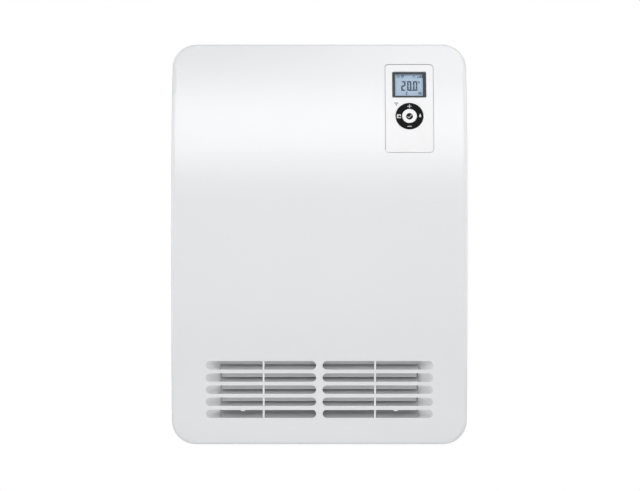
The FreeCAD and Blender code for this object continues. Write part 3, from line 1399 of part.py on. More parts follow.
NODES = [
    front_casing, casing_screws, back_panel, wall_bracket, wall_spacers, cable_grommet,
    outlet_grille, outlet_vanes, scroll_plate, duct_roof, left_end_plate, right_end_plate, blower_screws,
    impeller, stub_shaft, bearing_bush, bearing_rubber,
    motor_shaft, motor_rotor, motor_stator, motor_bobbin, motor_coil,
    inner_bearing_bridge, outer_bearing_bridge, motor_bushes, motor_screws,
    heater_bars, heater_fins, heater_ends, heater_tabs, thermal_cutout,
    power_board, board_posts, board_screws, relays, transformer, smoothing_capacitor,
    terminal_block, terminal_screws, earth_stud, earth_nut, sensor_post, room_sensor,
    control_fascia, display_lens, lcd_panel, lcd_holder,
    plus_key, minus_key, menu_key, mode_key, ok_key, key_mat,
    control_board, control_cover, control_screws,
]


def main():
    os.makedirs("parts", exist_ok=True)
    for build in NODES:
        shape = build()
        if isinstance(shape, list):
            shape = Part.makeCompound(shape)
        shape.exportStep(os.path.join("parts", build.__name__ + ".step"))


main()
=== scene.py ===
import json
import math

import bmesh
import bpy
from bpy.props import FloatProperty, FloatVectorProperty, IntProperty, PointerProperty
from mathutils import Matrix, Vector


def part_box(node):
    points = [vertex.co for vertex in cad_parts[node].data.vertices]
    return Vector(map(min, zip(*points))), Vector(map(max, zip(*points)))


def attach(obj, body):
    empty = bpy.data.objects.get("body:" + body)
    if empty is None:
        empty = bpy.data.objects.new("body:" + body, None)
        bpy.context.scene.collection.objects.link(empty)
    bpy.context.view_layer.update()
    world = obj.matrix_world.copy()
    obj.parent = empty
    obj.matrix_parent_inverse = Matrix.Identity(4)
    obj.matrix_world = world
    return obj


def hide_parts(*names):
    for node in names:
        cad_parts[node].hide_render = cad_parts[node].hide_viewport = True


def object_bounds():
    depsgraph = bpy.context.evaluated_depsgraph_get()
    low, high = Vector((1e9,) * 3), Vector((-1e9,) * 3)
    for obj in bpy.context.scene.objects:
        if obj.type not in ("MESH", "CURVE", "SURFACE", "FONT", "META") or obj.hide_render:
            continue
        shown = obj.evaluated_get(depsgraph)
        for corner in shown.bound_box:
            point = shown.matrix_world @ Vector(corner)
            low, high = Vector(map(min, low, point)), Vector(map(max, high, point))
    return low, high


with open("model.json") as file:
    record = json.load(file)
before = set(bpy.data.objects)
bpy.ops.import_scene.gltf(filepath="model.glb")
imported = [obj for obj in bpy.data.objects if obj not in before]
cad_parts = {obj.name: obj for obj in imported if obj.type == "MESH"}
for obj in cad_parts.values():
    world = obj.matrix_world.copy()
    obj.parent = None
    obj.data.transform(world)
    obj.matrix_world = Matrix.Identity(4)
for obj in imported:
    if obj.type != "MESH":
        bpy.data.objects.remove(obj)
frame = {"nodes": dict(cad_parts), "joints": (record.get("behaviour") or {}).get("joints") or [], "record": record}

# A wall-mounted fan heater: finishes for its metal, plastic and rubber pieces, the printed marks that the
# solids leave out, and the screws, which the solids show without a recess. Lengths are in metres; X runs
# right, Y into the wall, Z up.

bl_info = {
    "name": "Wall fan heater",
    "version": (1, 0, 0),
    "blender": (4, 5, 0),
    "location": "View3D > Sidebar > Heater",
    "description": "Dresses a wall-mounted fan heater and sets up its studio",
    "category": "Object",
}

CAD_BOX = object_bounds()
ROOT_BODY = "housing"
PRESS_AXIS = Vector(next(joint["axis"] for joint in frame["joints"] if joint["name"] == "ok_press"))
ACROSS = Vector((1.0, 0.0, 0.0))
INTO_WALL = Vector((0.0, 1.0, 0.0))
WHITE = (1.0, 1.0, 1.0, 1.0)
TOUCH = 2e-5  # how far marks stand off what carries them, and how near counts as the same place


# Settings that a user would change
def length(name, description, default):
    return FloatProperty(name=name, description=description, default=default, unit="LENGTH", precision=5)


def number(name, description, default):
    return FloatProperty(name=name, description=description, default=default)


def watts(name, description, default):
    return FloatProperty(name=name, description=description, default=default, unit="POWER", min=0.0)


def colour(name, description, default):
    return FloatVectorProperty(
        name=name, description=description, default=default, subtype="COLOR", size=3, min=0.0, max=1.0
    )


def spot(name, description, default):
    return FloatVectorProperty(
        name=name, description=description, default=default, subtype="TRANSLATION", unit="LENGTH", size=3
    )


def span(name, description, default):
    return FloatVectorProperty(
        name=name, description=description, default=default, unit="LENGTH", size=2, min=0.0
    )


class HeaterSizes(bpy.types.PropertyGroup):
    border_left: length("Border left", "Width of the window's dark border on its left", 0.0033)
    border_right: length("Border right", "Width of the window's dark border on its right", 0.0039)
    border_top: length("Border top", "Width of the window's dark border at its top", 0.0027)
    border_bottom: length("Border bottom", "Width of the window's dark border at its bottom", 0.0022)
    border_corner: length("Border corner", "Corner radius of the window's border", 0.0012)
    print_depth: length("Print depth", "Thickness of printed marks", 0.00006)
    digit_height: length("Digit height", "Height of the display's figures", 0.0122)
    digit_width: length("Digit width", "Width of the display's figures", 0.0052)
    digit_pitch: length("Digit pitch", "Distance from one figure to the next", 0.0069)
    digit_stroke: length("Digit stroke", "Thickness of a figure's strokes", 0.00185)
    digit_rise: length("Digit rise", "Height of the figures' middle above the display's middle", 0.0002)
    digit_shift: length("Digit shift", "How far the figures sit to the right of the middle", 0.0002)
    icon_size: length("Icon size", "Height of the display's small signs", 0.0037)
    key_mark: length("Key mark", "Size of the signs on the ring of keys", 0.0048)
    key_stroke: length("Key stroke", "Thickness of the strokes on the keys", 0.0008)
    key_circle: length("Key circle", "Radius of the circle that the keys' signs lie on", 0.0124)
    ok_disc: length("Middle disc", "Radius of the dark disc on the middle key", 0.004)
    tick_stroke: length("Tick stroke", "Thickness of the tick on the middle key", 0.00065)
    tick_length: length("Tick length", "Length of the tick's long arm", 0.0058)
    signal_mark: length("Signal mark", "Width of the small sign beside the keys", 0.0056)
    signal_left: length("Signal left", "Small sign's place left of the keys' middle", 0.0153)
    signal_up: length("Signal up", "Small sign's place above the keys' middle", 0.0143)
    fascia_width: length("Fascia width", "Width of the fascia's outline", 0.0558)
    fascia_length: length("Fascia length", "Length of the fascia's outline along the front", 0.11)
    fascia_corner: length("Fascia corner", "Corner radius of the fascia's outline", 0.004)
    ring_below: length("Ring below", "Keys' middle below the fascia's middle, along the front", 0.0118)
    recess_share: number("Recess", "Cross recess's reach as a share of the head's radius", 0.58)
    # Painted shade: how much the flange in the gap round the fascia is darkened to stand for the shadow there
    gap_painted_shade: number("Gap painted shade", "How much darker the gap round the fascia is", 0.75)
    screw_sides: IntProperty(name="Screw sides", description="Sides of a screw's head", default=32)


class HeaterColours(bpy.types.PropertyGroup):
    coat: colour("Powder coat", "Casing's white powder coat", (0.83, 0.84, 0.86))
    moulding: colour("White moulding", "Outlet grille", (0.95, 0.96, 0.97))
    fascia: colour("Fascia", "Control fascia and middle key", (0.94, 0.94, 0.95))
    keys: colour("Keys", "Ring of keys", (0.005, 0.005, 0.0055))
    window: colour("Window", "Clear window over the display", (0.9, 0.94, 0.97))
    border: colour("Window border", "Dark border printed round the window", (0.032, 0.038, 0.046))
    display: colour("Display", "Display's pale ground", (0.46, 0.6, 0.765))
    ink: colour("Display ink", "Figures on the display", (0.02, 0.04, 0.08))
    print_white: colour("White print", "Signs on the keys", (0.62, 0.63, 0.64))
    print_grey: colour("Grey print", "Small sign on the fascia", (0.32, 0.32, 0.32))
    zinc: colour("Galvanised sheet", "Back panel and blower housing", (0.58, 0.6, 0.62))
    plating: colour("Zinc plating", "Screws and wall bracket", (0.66, 0.67, 0.69))
    steel: colour("Ground steel", "Shafts", (0.5, 0.51, 0.53))
    iron: colour("Laminated iron", "Motor's stack and rotor", (0.2, 0.2, 0.21))
    aluminium: colour("Aluminium", "Fan, element and bearing bridges", (0.78, 0.79, 0.8))
    bronze: colour("Bronze", "Bushes", (0.45, 0.28, 0.12))
    brass: colour("Brass", "Terminals and earth stud", (0.72, 0.53, 0.22))
    copper: colour("Copper wire", "Motor's winding", (0.62, 0.24, 0.1))
    rubber: colour("Rubber", "Spacers, inlet and bearing seat", (0.025, 0.025, 0.026))
    silicone: colour("Silicone", "Key mat", (0.55, 0.57, 0.58))
    heat_plastic: colour("Heat-proof plastic", "Element's ends and cut-out", (0.03, 0.03, 0.032))
    natural_plastic: colour("Natural plastic", "Bobbin, posts and terminal block", (0.78, 0.76, 0.68))
    grey_moulding: colour("Grey moulding", "Vanes, display holder and rear cover", (0.51, 0.52, 0.53))
    component: colour("Component", "Relays and other board parts", (0.02, 0.02, 0.022))
    board: colour("Circuit board", "Solder mask", (0.02, 0.13, 0.05))
    track: colour("Board track", "Copper tracks under the mask", (0.05, 0.24, 0.09))
    floor: colour("Floor", "Studio floor", (0.86, 0.86, 0.86))


class StudioSettings(bpy.types.PropertyGroup):
    floor_drop: length("Floor drop", "Floor below the heater", 0.3)
    floor_size: length("Floor size", "Width of the floor", 9.0)
    floor_clear: length("Floor clear", "Radius at which the floor starts to fade to white", 0.6)
    floor_fade: length("Floor fade", "Radius at which the floor has faded to white", 2.0)
    floor_white: number("Floor white", "Share of plain white in the floor below the heater", 0.45)
    camera_x: length("Camera across", "Camera's place along X", 0.00075)
    camera_y: length("Camera distance", "Camera's place along Y", -4.127)
    camera_z: length("Camera height", "Camera's place along Z", -0.002)
    camera_lens: number("Lens", "Camera's focal length in millimetres", 193.5)
    ambient: number("Ambient", "Light from all round", 0.045)


# Each lamp: what it is, its power, its width and height, its middle, and the point that it faces
LAMPS = {
    "key": ("large soft box above", 22.6, (1.6, 1.4), (-0.05, -1.774, 1.183), (0.0, -0.12, 0.15)),
    "low": ("low light in front", 0.4, (0.8, 0.2), (-0.02, -0.5, -0.5), (0.0, -0.12, -0.15)),
    "left": ("strip light on the left", 3.6, (0.3, 1.0), (-1.2, -0.08, 0.2), (0.0, -0.09, 0.05)),
    "right": ("strip light on the right", 3.8, (0.3, 1.0), (1.2, -0.08, 0.2), (0.0, -0.09, 0.05)),
    "above": ("light over the right shoulder", 2.6, (0.6, 0.4), (0.35, -0.45, 1.3), (0.05, -0.08, 0.2)),
    "rear": ("soft box behind", 12.0, (1.6, 1.0), (0.0, 2.0, 0.6), (0.0, 0.0, 0.0)),
    "front": ("soft box straight in front", 17.0, (0.8, 0.8), (0.0, -3.1, -0.2), (0.0, -0.1, 0.0)),
}
DIFFUSE_LAMPS = ("front",)  # lamps that gloss does not mirror


def add_lamp_settings():
    """Gives the studio's settings each lamp's power, size, place and aim."""
    for name, (what, power, size, place, aim) in LAMPS.items():
        label = name.capitalize()
        settings = {
            "power": watts(label + " power", f"Power of the {what}", power),
            "span": span(label + " size", f"Width and height of the {what}", size),
            "place": spot(label + " place", f"Middle of the {what}", place),
            "aim": spot(label + " aim", f"Point that the {what} faces", aim),
        }
        for kind, setting in settings.items():
            StudioSettings.__annotations__[f"{name}_{kind}"] = setting


add_lamp_settings()


def sizes():
    return bpy.context.scene.heater_sizes


def colours():
    return bpy.context.scene.heater_colours


def studio():
    return bpy.context.scene.heater_studio


# Node groups shared by the finishes
GLOSS_FINENESS = 3.7  # how much finer the gloss of a surface drifts than its tone
SPANGLE_GLOSS = 0.16  # how far the roughness of zinc crystals differs


def new_group(name, inputs, outputs):
    """An empty shader group; inputs are (name, socket type, default) rows, outputs (name, socket type)."""
    tree = bpy.data.node_groups.new(name, "ShaderNodeTree")
    for label, kind, default in inputs:
        socket = tree.interface.new_socket(name=label, in_out="INPUT", socket_type=kind)
        socket.default_value = default
    for label, kind in outputs:
        tree.interface.new_socket(name=label, in_out="OUTPUT", socket_type=kind)
    start = tree.nodes.new("NodeGroupInput")
    end = tree.nodes.new("NodeGroupOutput")
    return tree, start.outputs, end.inputs


def operation_node(tree, kind, operation, values):
    """A node of one operation, whose inputs are sockets or plain values."""
    node = tree.nodes.new(kind)
    node.operation = operation
    for socket, value in zip(node.inputs, values):
        if isinstance(value, bpy.types.NodeSocket):
            tree.links.new(value, socket)
        else:
            socket.default_value = value
    return node


def math_node(tree, operation, *values):
    return operation_node(tree, "ShaderNodeMath", operation, values).outputs[0]


def vector_node(tree, operation, *values):
    return operation_node(tree, "ShaderNodeVectorMath", operation, values)


def object_place(tree):
    return tree.nodes.new("ShaderNodeTexCoord").outputs["Object"]


def noise(tree, place, scale, detail=3.0):
    node = tree.nodes.new("ShaderNodeTexNoise")
    node.inputs["Detail"].default_value = detail
    tree.links.new(place, node.inputs["Vector"])
    tree.links.new(scale, node.inputs["Scale"])
    return node.outputs["Fac"]


def scaled_colour(tree, colour_socket, factor):
    node = vector_node(tree, "SCALE", colour_socket)
    tree.links.new(factor, node.inputs["Scale"])
    return node.outputs[0]


def swing(tree, value, reach):
    """A value from 0 to 1 made one that goes as far as the reach to both sides of 0."""
    middle = math_node(tree, "SUBTRACT", value, 0.5)
    return math_node(tree, "MULTIPLY", math_node(tree, "MULTIPLY", middle, 2.0), reach)


def drift_group():
    """Slow changes of tone and gloss over a surface."""
    inputs = [
        ("Colour", "NodeSocketColor", (0.8, 0.8, 0.8, 1.0)),
        ("Tone", "NodeSocketFloat", 0.02),
        ("Roughness", "NodeSocketFloat", 0.4),
        ("Gloss", "NodeSocketFloat", 0.05),
        ("Scale", "NodeSocketFloat", 12.0),
    ]
    outputs = [("Colour", "NodeSocketColor"), ("Roughness", "NodeSocketFloat")]
    tree, start, end = new_group("finish drift", inputs, outputs)
    place = object_place(tree)
    tone = swing(tree, noise(tree, place, start["Scale"]), start["Tone"])
    finer = math_node(tree, "MULTIPLY", start["Scale"], GLOSS_FINENESS)
    gloss = swing(tree, noise(tree, place, finer), start["Gloss"])
    shade = scaled_colour(tree, start["Colour"], math_node(tree, "ADD", tone, 1.0))
    tree.links.new(shade, end["Colour"])
    tree.links.new(math_node(tree, "ADD", start["Roughness"], gloss), end["Roughness"])


def grain_group():
    """The fine relief of a coat or a moulding: a slow wave under small grains."""
    inputs = [
        ("Grain", "NodeSocketFloat", 900.0),
        ("Wave", "NodeSocketFloat", 120.0),
        ("Wave share", "NodeSocketFloat", 0.4),
    ]
    tree, start, end = new_group("surface grain", inputs, [("Height", "NodeSocketFloat")])
    place = object_place(tree)
    fine = noise(tree, place, start["Grain"], detail=2.0)
    wave = math_node(tree, "MULTIPLY", noise(tree, place, start["Wave"], detail=1.0), start["Wave share"])
    tree.links.new(math_node(tree, "ADD", fine, wave), end["Height"])


def spangle_group():
    """The crystals of a zinc coat, each with its own tone, gloss and height."""
    inputs = [
        ("Colour", "NodeSocketColor", (0.6, 0.6, 0.6, 1.0)),
        ("Scale", "NodeSocketFloat", 130.0),
        ("Contrast", "NodeSocketFloat", 0.2),
        ("Roughness", "NodeSocketFloat", 0.4),
    ]
    outputs = [
        ("Colour", "NodeSocketColor"),
        ("Roughness", "NodeSocketFloat"),
        ("Height", "NodeSocketFloat"),
    ]
    tree, start, end = new_group("zinc spangle", inputs, outputs)
    cells = tree.nodes.new("ShaderNodeTexVoronoi")
    tree.links.new(object_place(tree), cells.inputs["Vector"])
    tree.links.new(start["Scale"], cells.inputs["Scale"])
    split = tree.nodes.new("ShaderNodeSeparateColor")
    tree.links.new(cells.outputs["Color"], split.inputs[0])
    tone = math_node(tree, "SUBTRACT", split.outputs[0], 0.5)
    tone = math_node(tree, "MULTIPLY", tone, start["Contrast"])
    tree.links.new(scaled_colour(tree, start["Colour"], math_node(tree, "ADD", tone, 1.0)), end["Colour"])
    gloss = math_node(tree, "SUBTRACT", split.outputs[1], 0.5)
    gloss = math_node(tree, "MULTIPLY", gloss, SPANGLE_GLOSS)
    tree.links.new(math_node(tree, "ADD", start["Roughness"], gloss), end["Roughness"])
    tree.links.new(split.outputs[2], end["Height"])


def lines_group():
    """Fine lines along one axis, as brushing, turning or rolling leaves them."""
    inputs = [("Across", "NodeSocketVector", (1.0, 1.0, 1.0)), ("Scale", "NodeSocketFloat", 300.0)]
    tree, start, end = new_group("brushed lines", inputs, [("Height", "NodeSocketFloat")])
    stretched = vector_node(tree, "MULTIPLY", object_place(tree), start["Across"]).outputs[0]
    tree.links.new(noise(tree, stretched, start["Scale"], detail=4.0), end["Height"])


GROUP_MAKERS = {
    "finish drift": drift_group,
    "surface grain": grain_group,
    "zinc spangle": spangle_group,
    "brushed lines": lines_group,
}


def use_group(tree, name, **values):
    """Places a shared group in a material and sets its inputs; underscores in names stand for spaces."""
    if name not in bpy.data.node_groups:
        GROUP_MAKERS[name]()
    node = tree.nodes.new("ShaderNodeGroup")
    node.node_tree = bpy.data.node_groups[name]
    for label, value in values.items():
        node.inputs[label.replace("_", " ")].default_value = value
    return node


# Finishes
def new_material(name, **values):
    """A material with a Principled shader; values set its sockets, with underscores for spaces."""
    made = bpy.data.materials.new(name)
    made.use_nodes = True
    shader = made.node_tree.nodes["Principled BSDF"]
    for label, value in values.items():
        shader.inputs[label.replace("_", " ")].default_value = value
    return made, made.node_tree, shader


def opaque(shade):
    return (*shade, 1.0)


def feed_shader(tree, node, shader):
    """Takes a shader's colour and roughness from a group."""
    tree.links.new(node.outputs["Colour"], shader.inputs["Base Color"])
    tree.links.new(node.outputs["Roughness"], shader.inputs["Roughness"])


def add_drift(tree, shader, shade, tone, roughness, gloss, scale):
    values = {"Tone": tone, "Roughness": roughness, "Gloss": gloss, "Scale": scale}
    node = use_group(tree, "finish drift", Colour=opaque(shade), **values)
    feed_shader(tree, node, shader)
    return node.outputs["Colour"]


def add_spangle(tree, shader, shade, scale, contrast, roughness):
    values = {"Scale": scale, "Contrast": contrast, "Roughness": roughness}
    node = use_group(tree, "zinc spangle", Colour=opaque(shade), **values)
    feed_shader(tree, node, shader)
    return node.outputs["Height"]


def add_relief(tree, shader, height, strength, depth):
    bump = tree.nodes.new("ShaderNodeBump")
    bump.inputs["Strength"].default_value = strength
    bump.inputs["Distance"].default_value = depth
    tree.links.new(height, bump.inputs["Height"])
    tree.links.new(bump.outputs["Normal"], shader.inputs["Normal"])


def add_grain(tree, shader, grain, wave, share, strength, depth=0.0002):
    """A fine relief of grains and a slower wave, both counted per metre."""
    node = use_group(tree, "surface grain", Grain=grain, Wave=wave, Wave_share=share)
    add_relief(tree, shader, node.outputs["Height"], strength, depth)


def moulded(name, shade, roughness, grain, strength, tone, shine):
    """A plastic, rubber or printed surface with a fine grain."""
    made, tree, shader = new_material(name, Specular_IOR_Level=shine)
    add_drift(tree, shader, shade, tone, roughness, gloss=0.05, scale=14.0)
    add_grain(tree, shader, grain, wave=grain / 6, share=0.5, strength=strength)
    return made


def metal(name, shade, roughness, across, strength, tone):
    """A metal surface with fine lines across the given axes."""
    made, tree, shader = new_material(name, Metallic=1.0)
    add_drift(tree, shader, shade, tone, roughness, gloss=0.08, scale=30.0)
    node = use_group(tree, "brushed lines", Across=across, Scale=320.0)
    add_relief(tree, shader, node.outputs["Height"], strength, depth=0.0001)
    return made


def banded(name, shade, axis, pitch, roughness, metallic, depth):
    """A surface of fine regular bands along an axis, such as stacked sheets or wound wire."""
    made, tree, shader = new_material(name, Metallic=metallic)
    add_drift(tree, shader, shade, tone=0.12, roughness=roughness, gloss=0.1, scale=40.0)
    wave = tree.nodes.new("ShaderNodeTexWave")
    wave.bands_direction = axis
    wave.inputs["Scale"].default_value = math.pi / 10 / pitch  # at scale 1, ten bands take pi metres
    wave.inputs["Distortion"].default_value = 0.4
    tree.links.new(object_place(tree), wave.inputs["Vector"])
    add_relief(tree, shader, wave.outputs["Fac"], strength=0.5, depth=depth)
    return made


def white_powder_coat(name):
    made, tree, shader = new_material(name, Specular_IOR_Level=1.0)
    add_drift(tree, shader, colours().coat, tone=0.008, roughness=0.38, gloss=0.03, scale=7.0)
    add_grain(tree, shader, grain=1100.0, wave=260.0, share=0.8, strength=0.05)
    return made


def galvanised_sheet(name):
    made, tree, shader = new_material(name, Metallic=1.0)
    crystals = add_spangle(tree, shader, colours().zinc, scale=110.0, contrast=0.22, roughness=0.42)
    add_relief(tree, shader, crystals, strength=0.06, depth=0.0001)
    return made


def zinc_plated_steel(name):
    made, tree, shader = new_material(name, Metallic=1.0)
    add_spangle(tree, shader, colours().plating, scale=420.0, contrast=0.12, roughness=0.3)
    add_grain(tree, shader, grain=700.0, wave=90.0, share=0.6, strength=0.05, depth=0.0001)
    return made


def distance_along(tree, middle, direction):
    """How far a point on the surface lies from a middle along a direction, with no sign."""
    away = vector_node(tree, "SUBTRACT", object_place(tree), middle)
    along = vector_node(tree, "DOT_PRODUCT", away.outputs[0], direction)
    return math_node(tree, "ABSOLUTE", along.outputs["Value"])


def past_outline(tree):
    """1 on what lies outside the fascia's rounded outline, which is the flange under the casing, else 0; it masks
    the painted shade in the gap round the fascia.
    """
    own = sizes()
    middle = from_ring(0.0, own.ring_below)
    squares = []
    for direction, size in ((ACROSS, own.fascia_width), (upward(), own.fascia_length)):
        away = distance_along(tree, middle, direction)
        past = math_node(tree, "SUBTRACT", away, size / 2 - own.fascia_corner)
        past = math_node(tree, "MAXIMUM", past, 0.0)
        squares.append(math_node(tree, "MULTIPLY", past, past))
    reach = math_node(tree, "SQRT", math_node(tree, "ADD", *squares))
    return math_node(tree, "GREATER_THAN", reach, own.fascia_corner + TOUCH)


def fascia_plastic(name):
    """White plastic, with painted shade that darkens the flange in the narrow gap round the fascia and stands for
    the shadow there.
    """
    made, tree, shader = new_material(name)
    shade = add_drift(tree, shader, colours().fascia, tone=0.006, roughness=0.45, gloss=0.05, scale=14.0)
    # Painted shade: the flange outside the outline is darkened to stand for the shadow in the gap round the fascia
    painted_shade_share = math_node(tree, "MULTIPLY", past_outline(tree), sizes().gap_painted_shade)
    unshaded_share = math_node(tree, "SUBTRACT", 1.0, painted_shade_share)
    tree.links.new(scaled_colour(tree, shade, unshaded_share), shader.inputs["Base Color"])
    add_grain(tree, shader, grain=2200.0, wave=360.0, share=0.5, strength=0.012)
    return made


def clear_window(name):
    made, tree, shader = new_material(name, Alpha=0.04, Specular_IOR_Level=0.2)
    add_drift(tree, shader, colours().window, tone=0.01, roughness=0.06, gloss=0.02, scale=40.0)
    return made


def display_ground(name):
    """The pale ground of the display, with a slight drift of tone and a faint cell texture."""
    made, tree, shader = new_material(name, Specular_IOR_Level=0.1)
    add_drift(tree, shader, colours().display, tone=0.04, roughness=0.3, gloss=0.03, scale=55.0)
    add_grain(tree, shader, grain=5200.0, wave=400.0, share=0.2, strength=0.02, depth=0.0001)
    return made


def circuit_board(name):
    """Green solder mask over a pattern of copper tracks."""
    made, tree, shader = new_material(name, Coat_Weight=0.3, Roughness=0.35)
    bricks = tree.nodes.new("ShaderNodeTexBrick")
    bricks.inputs["Color1"].default_value = opaque(colours().board)
    bricks.inputs["Color2"].default_value = opaque(colours().board)
    bricks.inputs["Mortar"].default_value = opaque(colours().track)
    bricks.inputs["Scale"].default_value = 260.0
    bricks.inputs["Mortar Size"].default_value = 0.06
    turned = tree.nodes.new("ShaderNodeMapping")
    turned.inputs["Rotation"].default_value = (math.pi / 2, 0.0, 0.0)
    tree.links.new(object_place(tree), turned.inputs["Vector"])
    tree.links.new(turned.outputs["Vector"], bricks.inputs["Vector"])
    tree.links.new(bricks.outputs["Color"], shader.inputs["Base Color"])
    add_relief(tree, shader, bricks.outputs["Fac"], strength=0.3, depth=0.00005)
    return made


# Plastics, rubbers and prints: colour, roughness, grains per metre, strength of the grain, drift of tone,
# and shine
MOULDED = {
    "white moulding": ("moulding", 0.5, 1500.0, 0.06, 0.02, 0.5),
    "grey moulding": ("grey_moulding", 0.55, 1500.0, 0.07, 0.02, 0.5),
    "key plastic": ("keys", 0.45, 2600.0, 0.05, 0.1, 0.05),
    "heat-proof plastic": ("heat_plastic", 0.5, 1300.0, 0.1, 0.08, 0.5),
    "natural plastic": ("natural_plastic", 0.45, 1300.0, 0.06, 0.02, 0.5),
    "black component": ("component", 0.42, 1700.0, 0.08, 0.08, 0.5),
    "black rubber": ("rubber", 0.72, 1800.0, 0.18, 0.12, 0.5),
    "silicone mat": ("silicone", 0.6, 1600.0, 0.08, 0.02, 0.5),
    "window border print": ("border", 0.3, 2400.0, 0.01, 0.06, 0.2),
    "display ink": ("ink", 0.5, 3000.0, 0.01, 0.15, 0.1),
    "white print": ("print_white", 0.45, 3000.0, 0.02, 0.02, 0.5),
    "grey print": ("print_grey", 0.45, 3000.0, 0.02, 0.02, 0.5),
    "black print": ("keys", 0.5, 3000.0, 0.02, 0.1, 0.08),
}
# Bare metals: colour, roughness, fineness of the lines along X, Y and Z, their strength, drift of tone
METALS = {
    "ground steel": ("steel", 0.28, (1.0, 0.06, 0.06), 0.08, 0.05),
    "bare aluminium": ("aluminium", 0.38, (0.03, 1.0, 1.0), 0.08, 0.04),
    "bearing bronze": ("bronze", 0.45, (1.0, 0.2, 0.2), 0.06, 0.1),
    "terminal brass": ("brass", 0.32, (1.0, 1.0, 0.1), 0.06, 0.06),
}
# Banded metals: colour, axis and pitch of the bands, roughness, metallic share, depth of the bands
BANDED = {
    "laminated iron": ("iron", "X", 0.0005, 0.45, 0.9, 0.00015),
    "copper winding": ("copper", "Y", 0.00045, 0.3, 0.9, 0.0002),
}
TABLES = ((moulded, MOULDED), (metal, METALS), (banded, BANDED))
SINGLE_FINISHES = {
    "white powder coat": white_powder_coat,
    "galvanised sheet": galvanised_sheet,
    "zinc plated steel": zinc_plated_steel,
    "fascia plastic": fascia_plastic,
    "clear window": clear_window,
    "display ground": display_ground,
    "circuit board": circuit_board,
}
# Material slots whose finish goes by another name
SLOT_FINISHES = {
    "bare_steel": "ground steel",
    "display": "display ground",
    "silicone": "silicone mat",
    "heat_plastic": "heat-proof plastic",
}
made_finishes = {}


def make_finish(name):
    for maker, rows in TABLES:
        if name in rows:
            shade, *values = rows[name]
            return maker(name, getattr(colours(), shade), *values)
    return SINGLE_FINISHES[name](name)


def finish(name):
    """The finish of that name, made once."""
    if name not in made_finishes:
        made_finishes[name] = make_finish(name)
    return made_finishes[name]


# Modelling by hand, in code
def deselect():
    bpy.ops.object.select_all(action="DESELECT")


def use(piece):
    deselect()
    piece.select_set(True)
    bpy.context.view_layer.objects.active = piece


def stretch(piece, x, y, z=1.0):
    use(piece)
    piece.scale = (x, y, z)
    bpy.ops.object.transform_apply(scale=True)


def new_plane(width, height):
    deselect()
    bpy.ops.mesh.primitive_plane_add(size=1.0)
    piece = bpy.context.active_object
    stretch(piece, width, height)
    return piece


def new_disc(radius, corners):
    deselect()
    bpy.ops.mesh.primitive_circle_add(vertices=corners, radius=radius, fill_type="NGON")
    return bpy.context.active_object


def new_grid(faces, size):
    """A flat square grid with the same number of faces both ways."""
    deselect()
    bpy.ops.mesh.primitive_grid_add(x_subdivisions=faces, y_subdivisions=faces, size=size)
    return bpy.context.active_object


def pick(piece, kind, wanted):
    """In edit mode, selects the corners, edges or faces whose middle passes a test."""
    bpy.ops.mesh.select_mode(type={"verts": "VERT", "edges": "EDGE", "faces": "FACE"}[kind])
    bpy.ops.mesh.select_all(action="DESELECT")
    mesh = bmesh.from_edit_mesh(piece.data)
    for item in getattr(mesh, kind):
        if kind == "verts":
            middle = item.co
        elif kind == "edges":
            middle = (item.verts[0].co + item.verts[1].co) / 2
        else:
            middle = item.calc_center_median()
        if wanted(middle):
            item.select_set(True)
    mesh.select_flush_mode()
    bmesh.update_edit_mesh(piece.data)


def pick_all():
    bpy.ops.mesh.select_all(action="SELECT")


def start_edit(piece):
    use(piece)
    bpy.ops.object.mode_set(mode="EDIT")


def end_edit():
    bpy.ops.object.mode_set(mode="OBJECT")


def extrude(x, y, z):
    bpy.ops.mesh.extrude_region_move(TRANSFORM_OT_translate={"value": (x, y, z)})


def grow_edge(piece, middle, move):
    """Extrudes the outline edge at a place by a move in the plane."""
    middle = Vector((*middle, 0.0))
    pick(piece, "edges", lambda point: (point - middle).length < TOUCH)
    extrude(*move, 0.0)


def join(pieces):
    use(pieces[0])
    for piece in pieces[1:]:
        piece.select_set(True)
    bpy.ops.object.join()
    return bpy.context.active_object


def put(piece, matrix):
    """Places a piece and makes the place part of its mesh."""
    use(piece)
    piece.matrix_world = matrix
    bpy.ops.object.transform_apply(location=True, rotation=True, scale=True)


def move_by(piece, x, y, turn=0.0):
    put(piece, Matrix.Translation((x, y, 0.0)) @ Matrix.Rotation(turn, 4, "Z"))
    return piece


def apply_modifier(piece, kind, **values):
    use(piece)
    modifier = piece.modifiers.new(kind.lower(), kind)
    for label, value in values.items():
        setattr(modifier, label, value)
    bpy.ops.object.modifier_apply(modifier=modifier.name)


def thicken(piece, depth):
    """Gives a flat piece its thickness above the plane that it lies in."""
    apply_modifier(piece, "SOLIDIFY", thickness=depth, offset=1.0)
    start_edit(piece)
    pick_all()
    bpy.ops.mesh.normals_make_consistent(inside=False)
    end_edit()


def dress(piece, name, finish_name, body=ROOT_BODY):
    piece.name = name
    piece.data.name = name
    piece.data.materials.clear()
    piece.data.materials.append(finish(finish_name))
    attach(piece, body)


def print_mark(piece, place, name, finish_name, body=ROOT_BODY):
    """Makes a flat form a printed mark at a place."""
    thicken(piece, sizes().print_depth)
    put(piece, place)
    dress(piece, name, finish_name, body)


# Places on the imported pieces
def middle_of(node):
    low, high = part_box(node)
    return (Vector(low) + Vector(high)) / 2


def seat(node, target, aim=INTO_WALL):
    """A frame where a line of sight through a target meets a node's front: X right, Y up, Z outward."""
    hit, place, normal, _ = frame["nodes"][node].ray_cast(target - aim, aim)
    if not hit:
        raise RuntimeError(f"nothing of {node} on the way to {target}")
    if normal.y > 0:
        normal = -normal
    across = (ACROSS - normal * ACROSS.dot(normal)).normalized()
    turn = Matrix((across, normal.cross(across), normal)).transposed().to_4x4()
    return Matrix.Translation(place + normal * TOUCH) @ turn


def upward():
    """The direction up along the fascia."""
    return -PRESS_AXIS.cross(ACROSS)


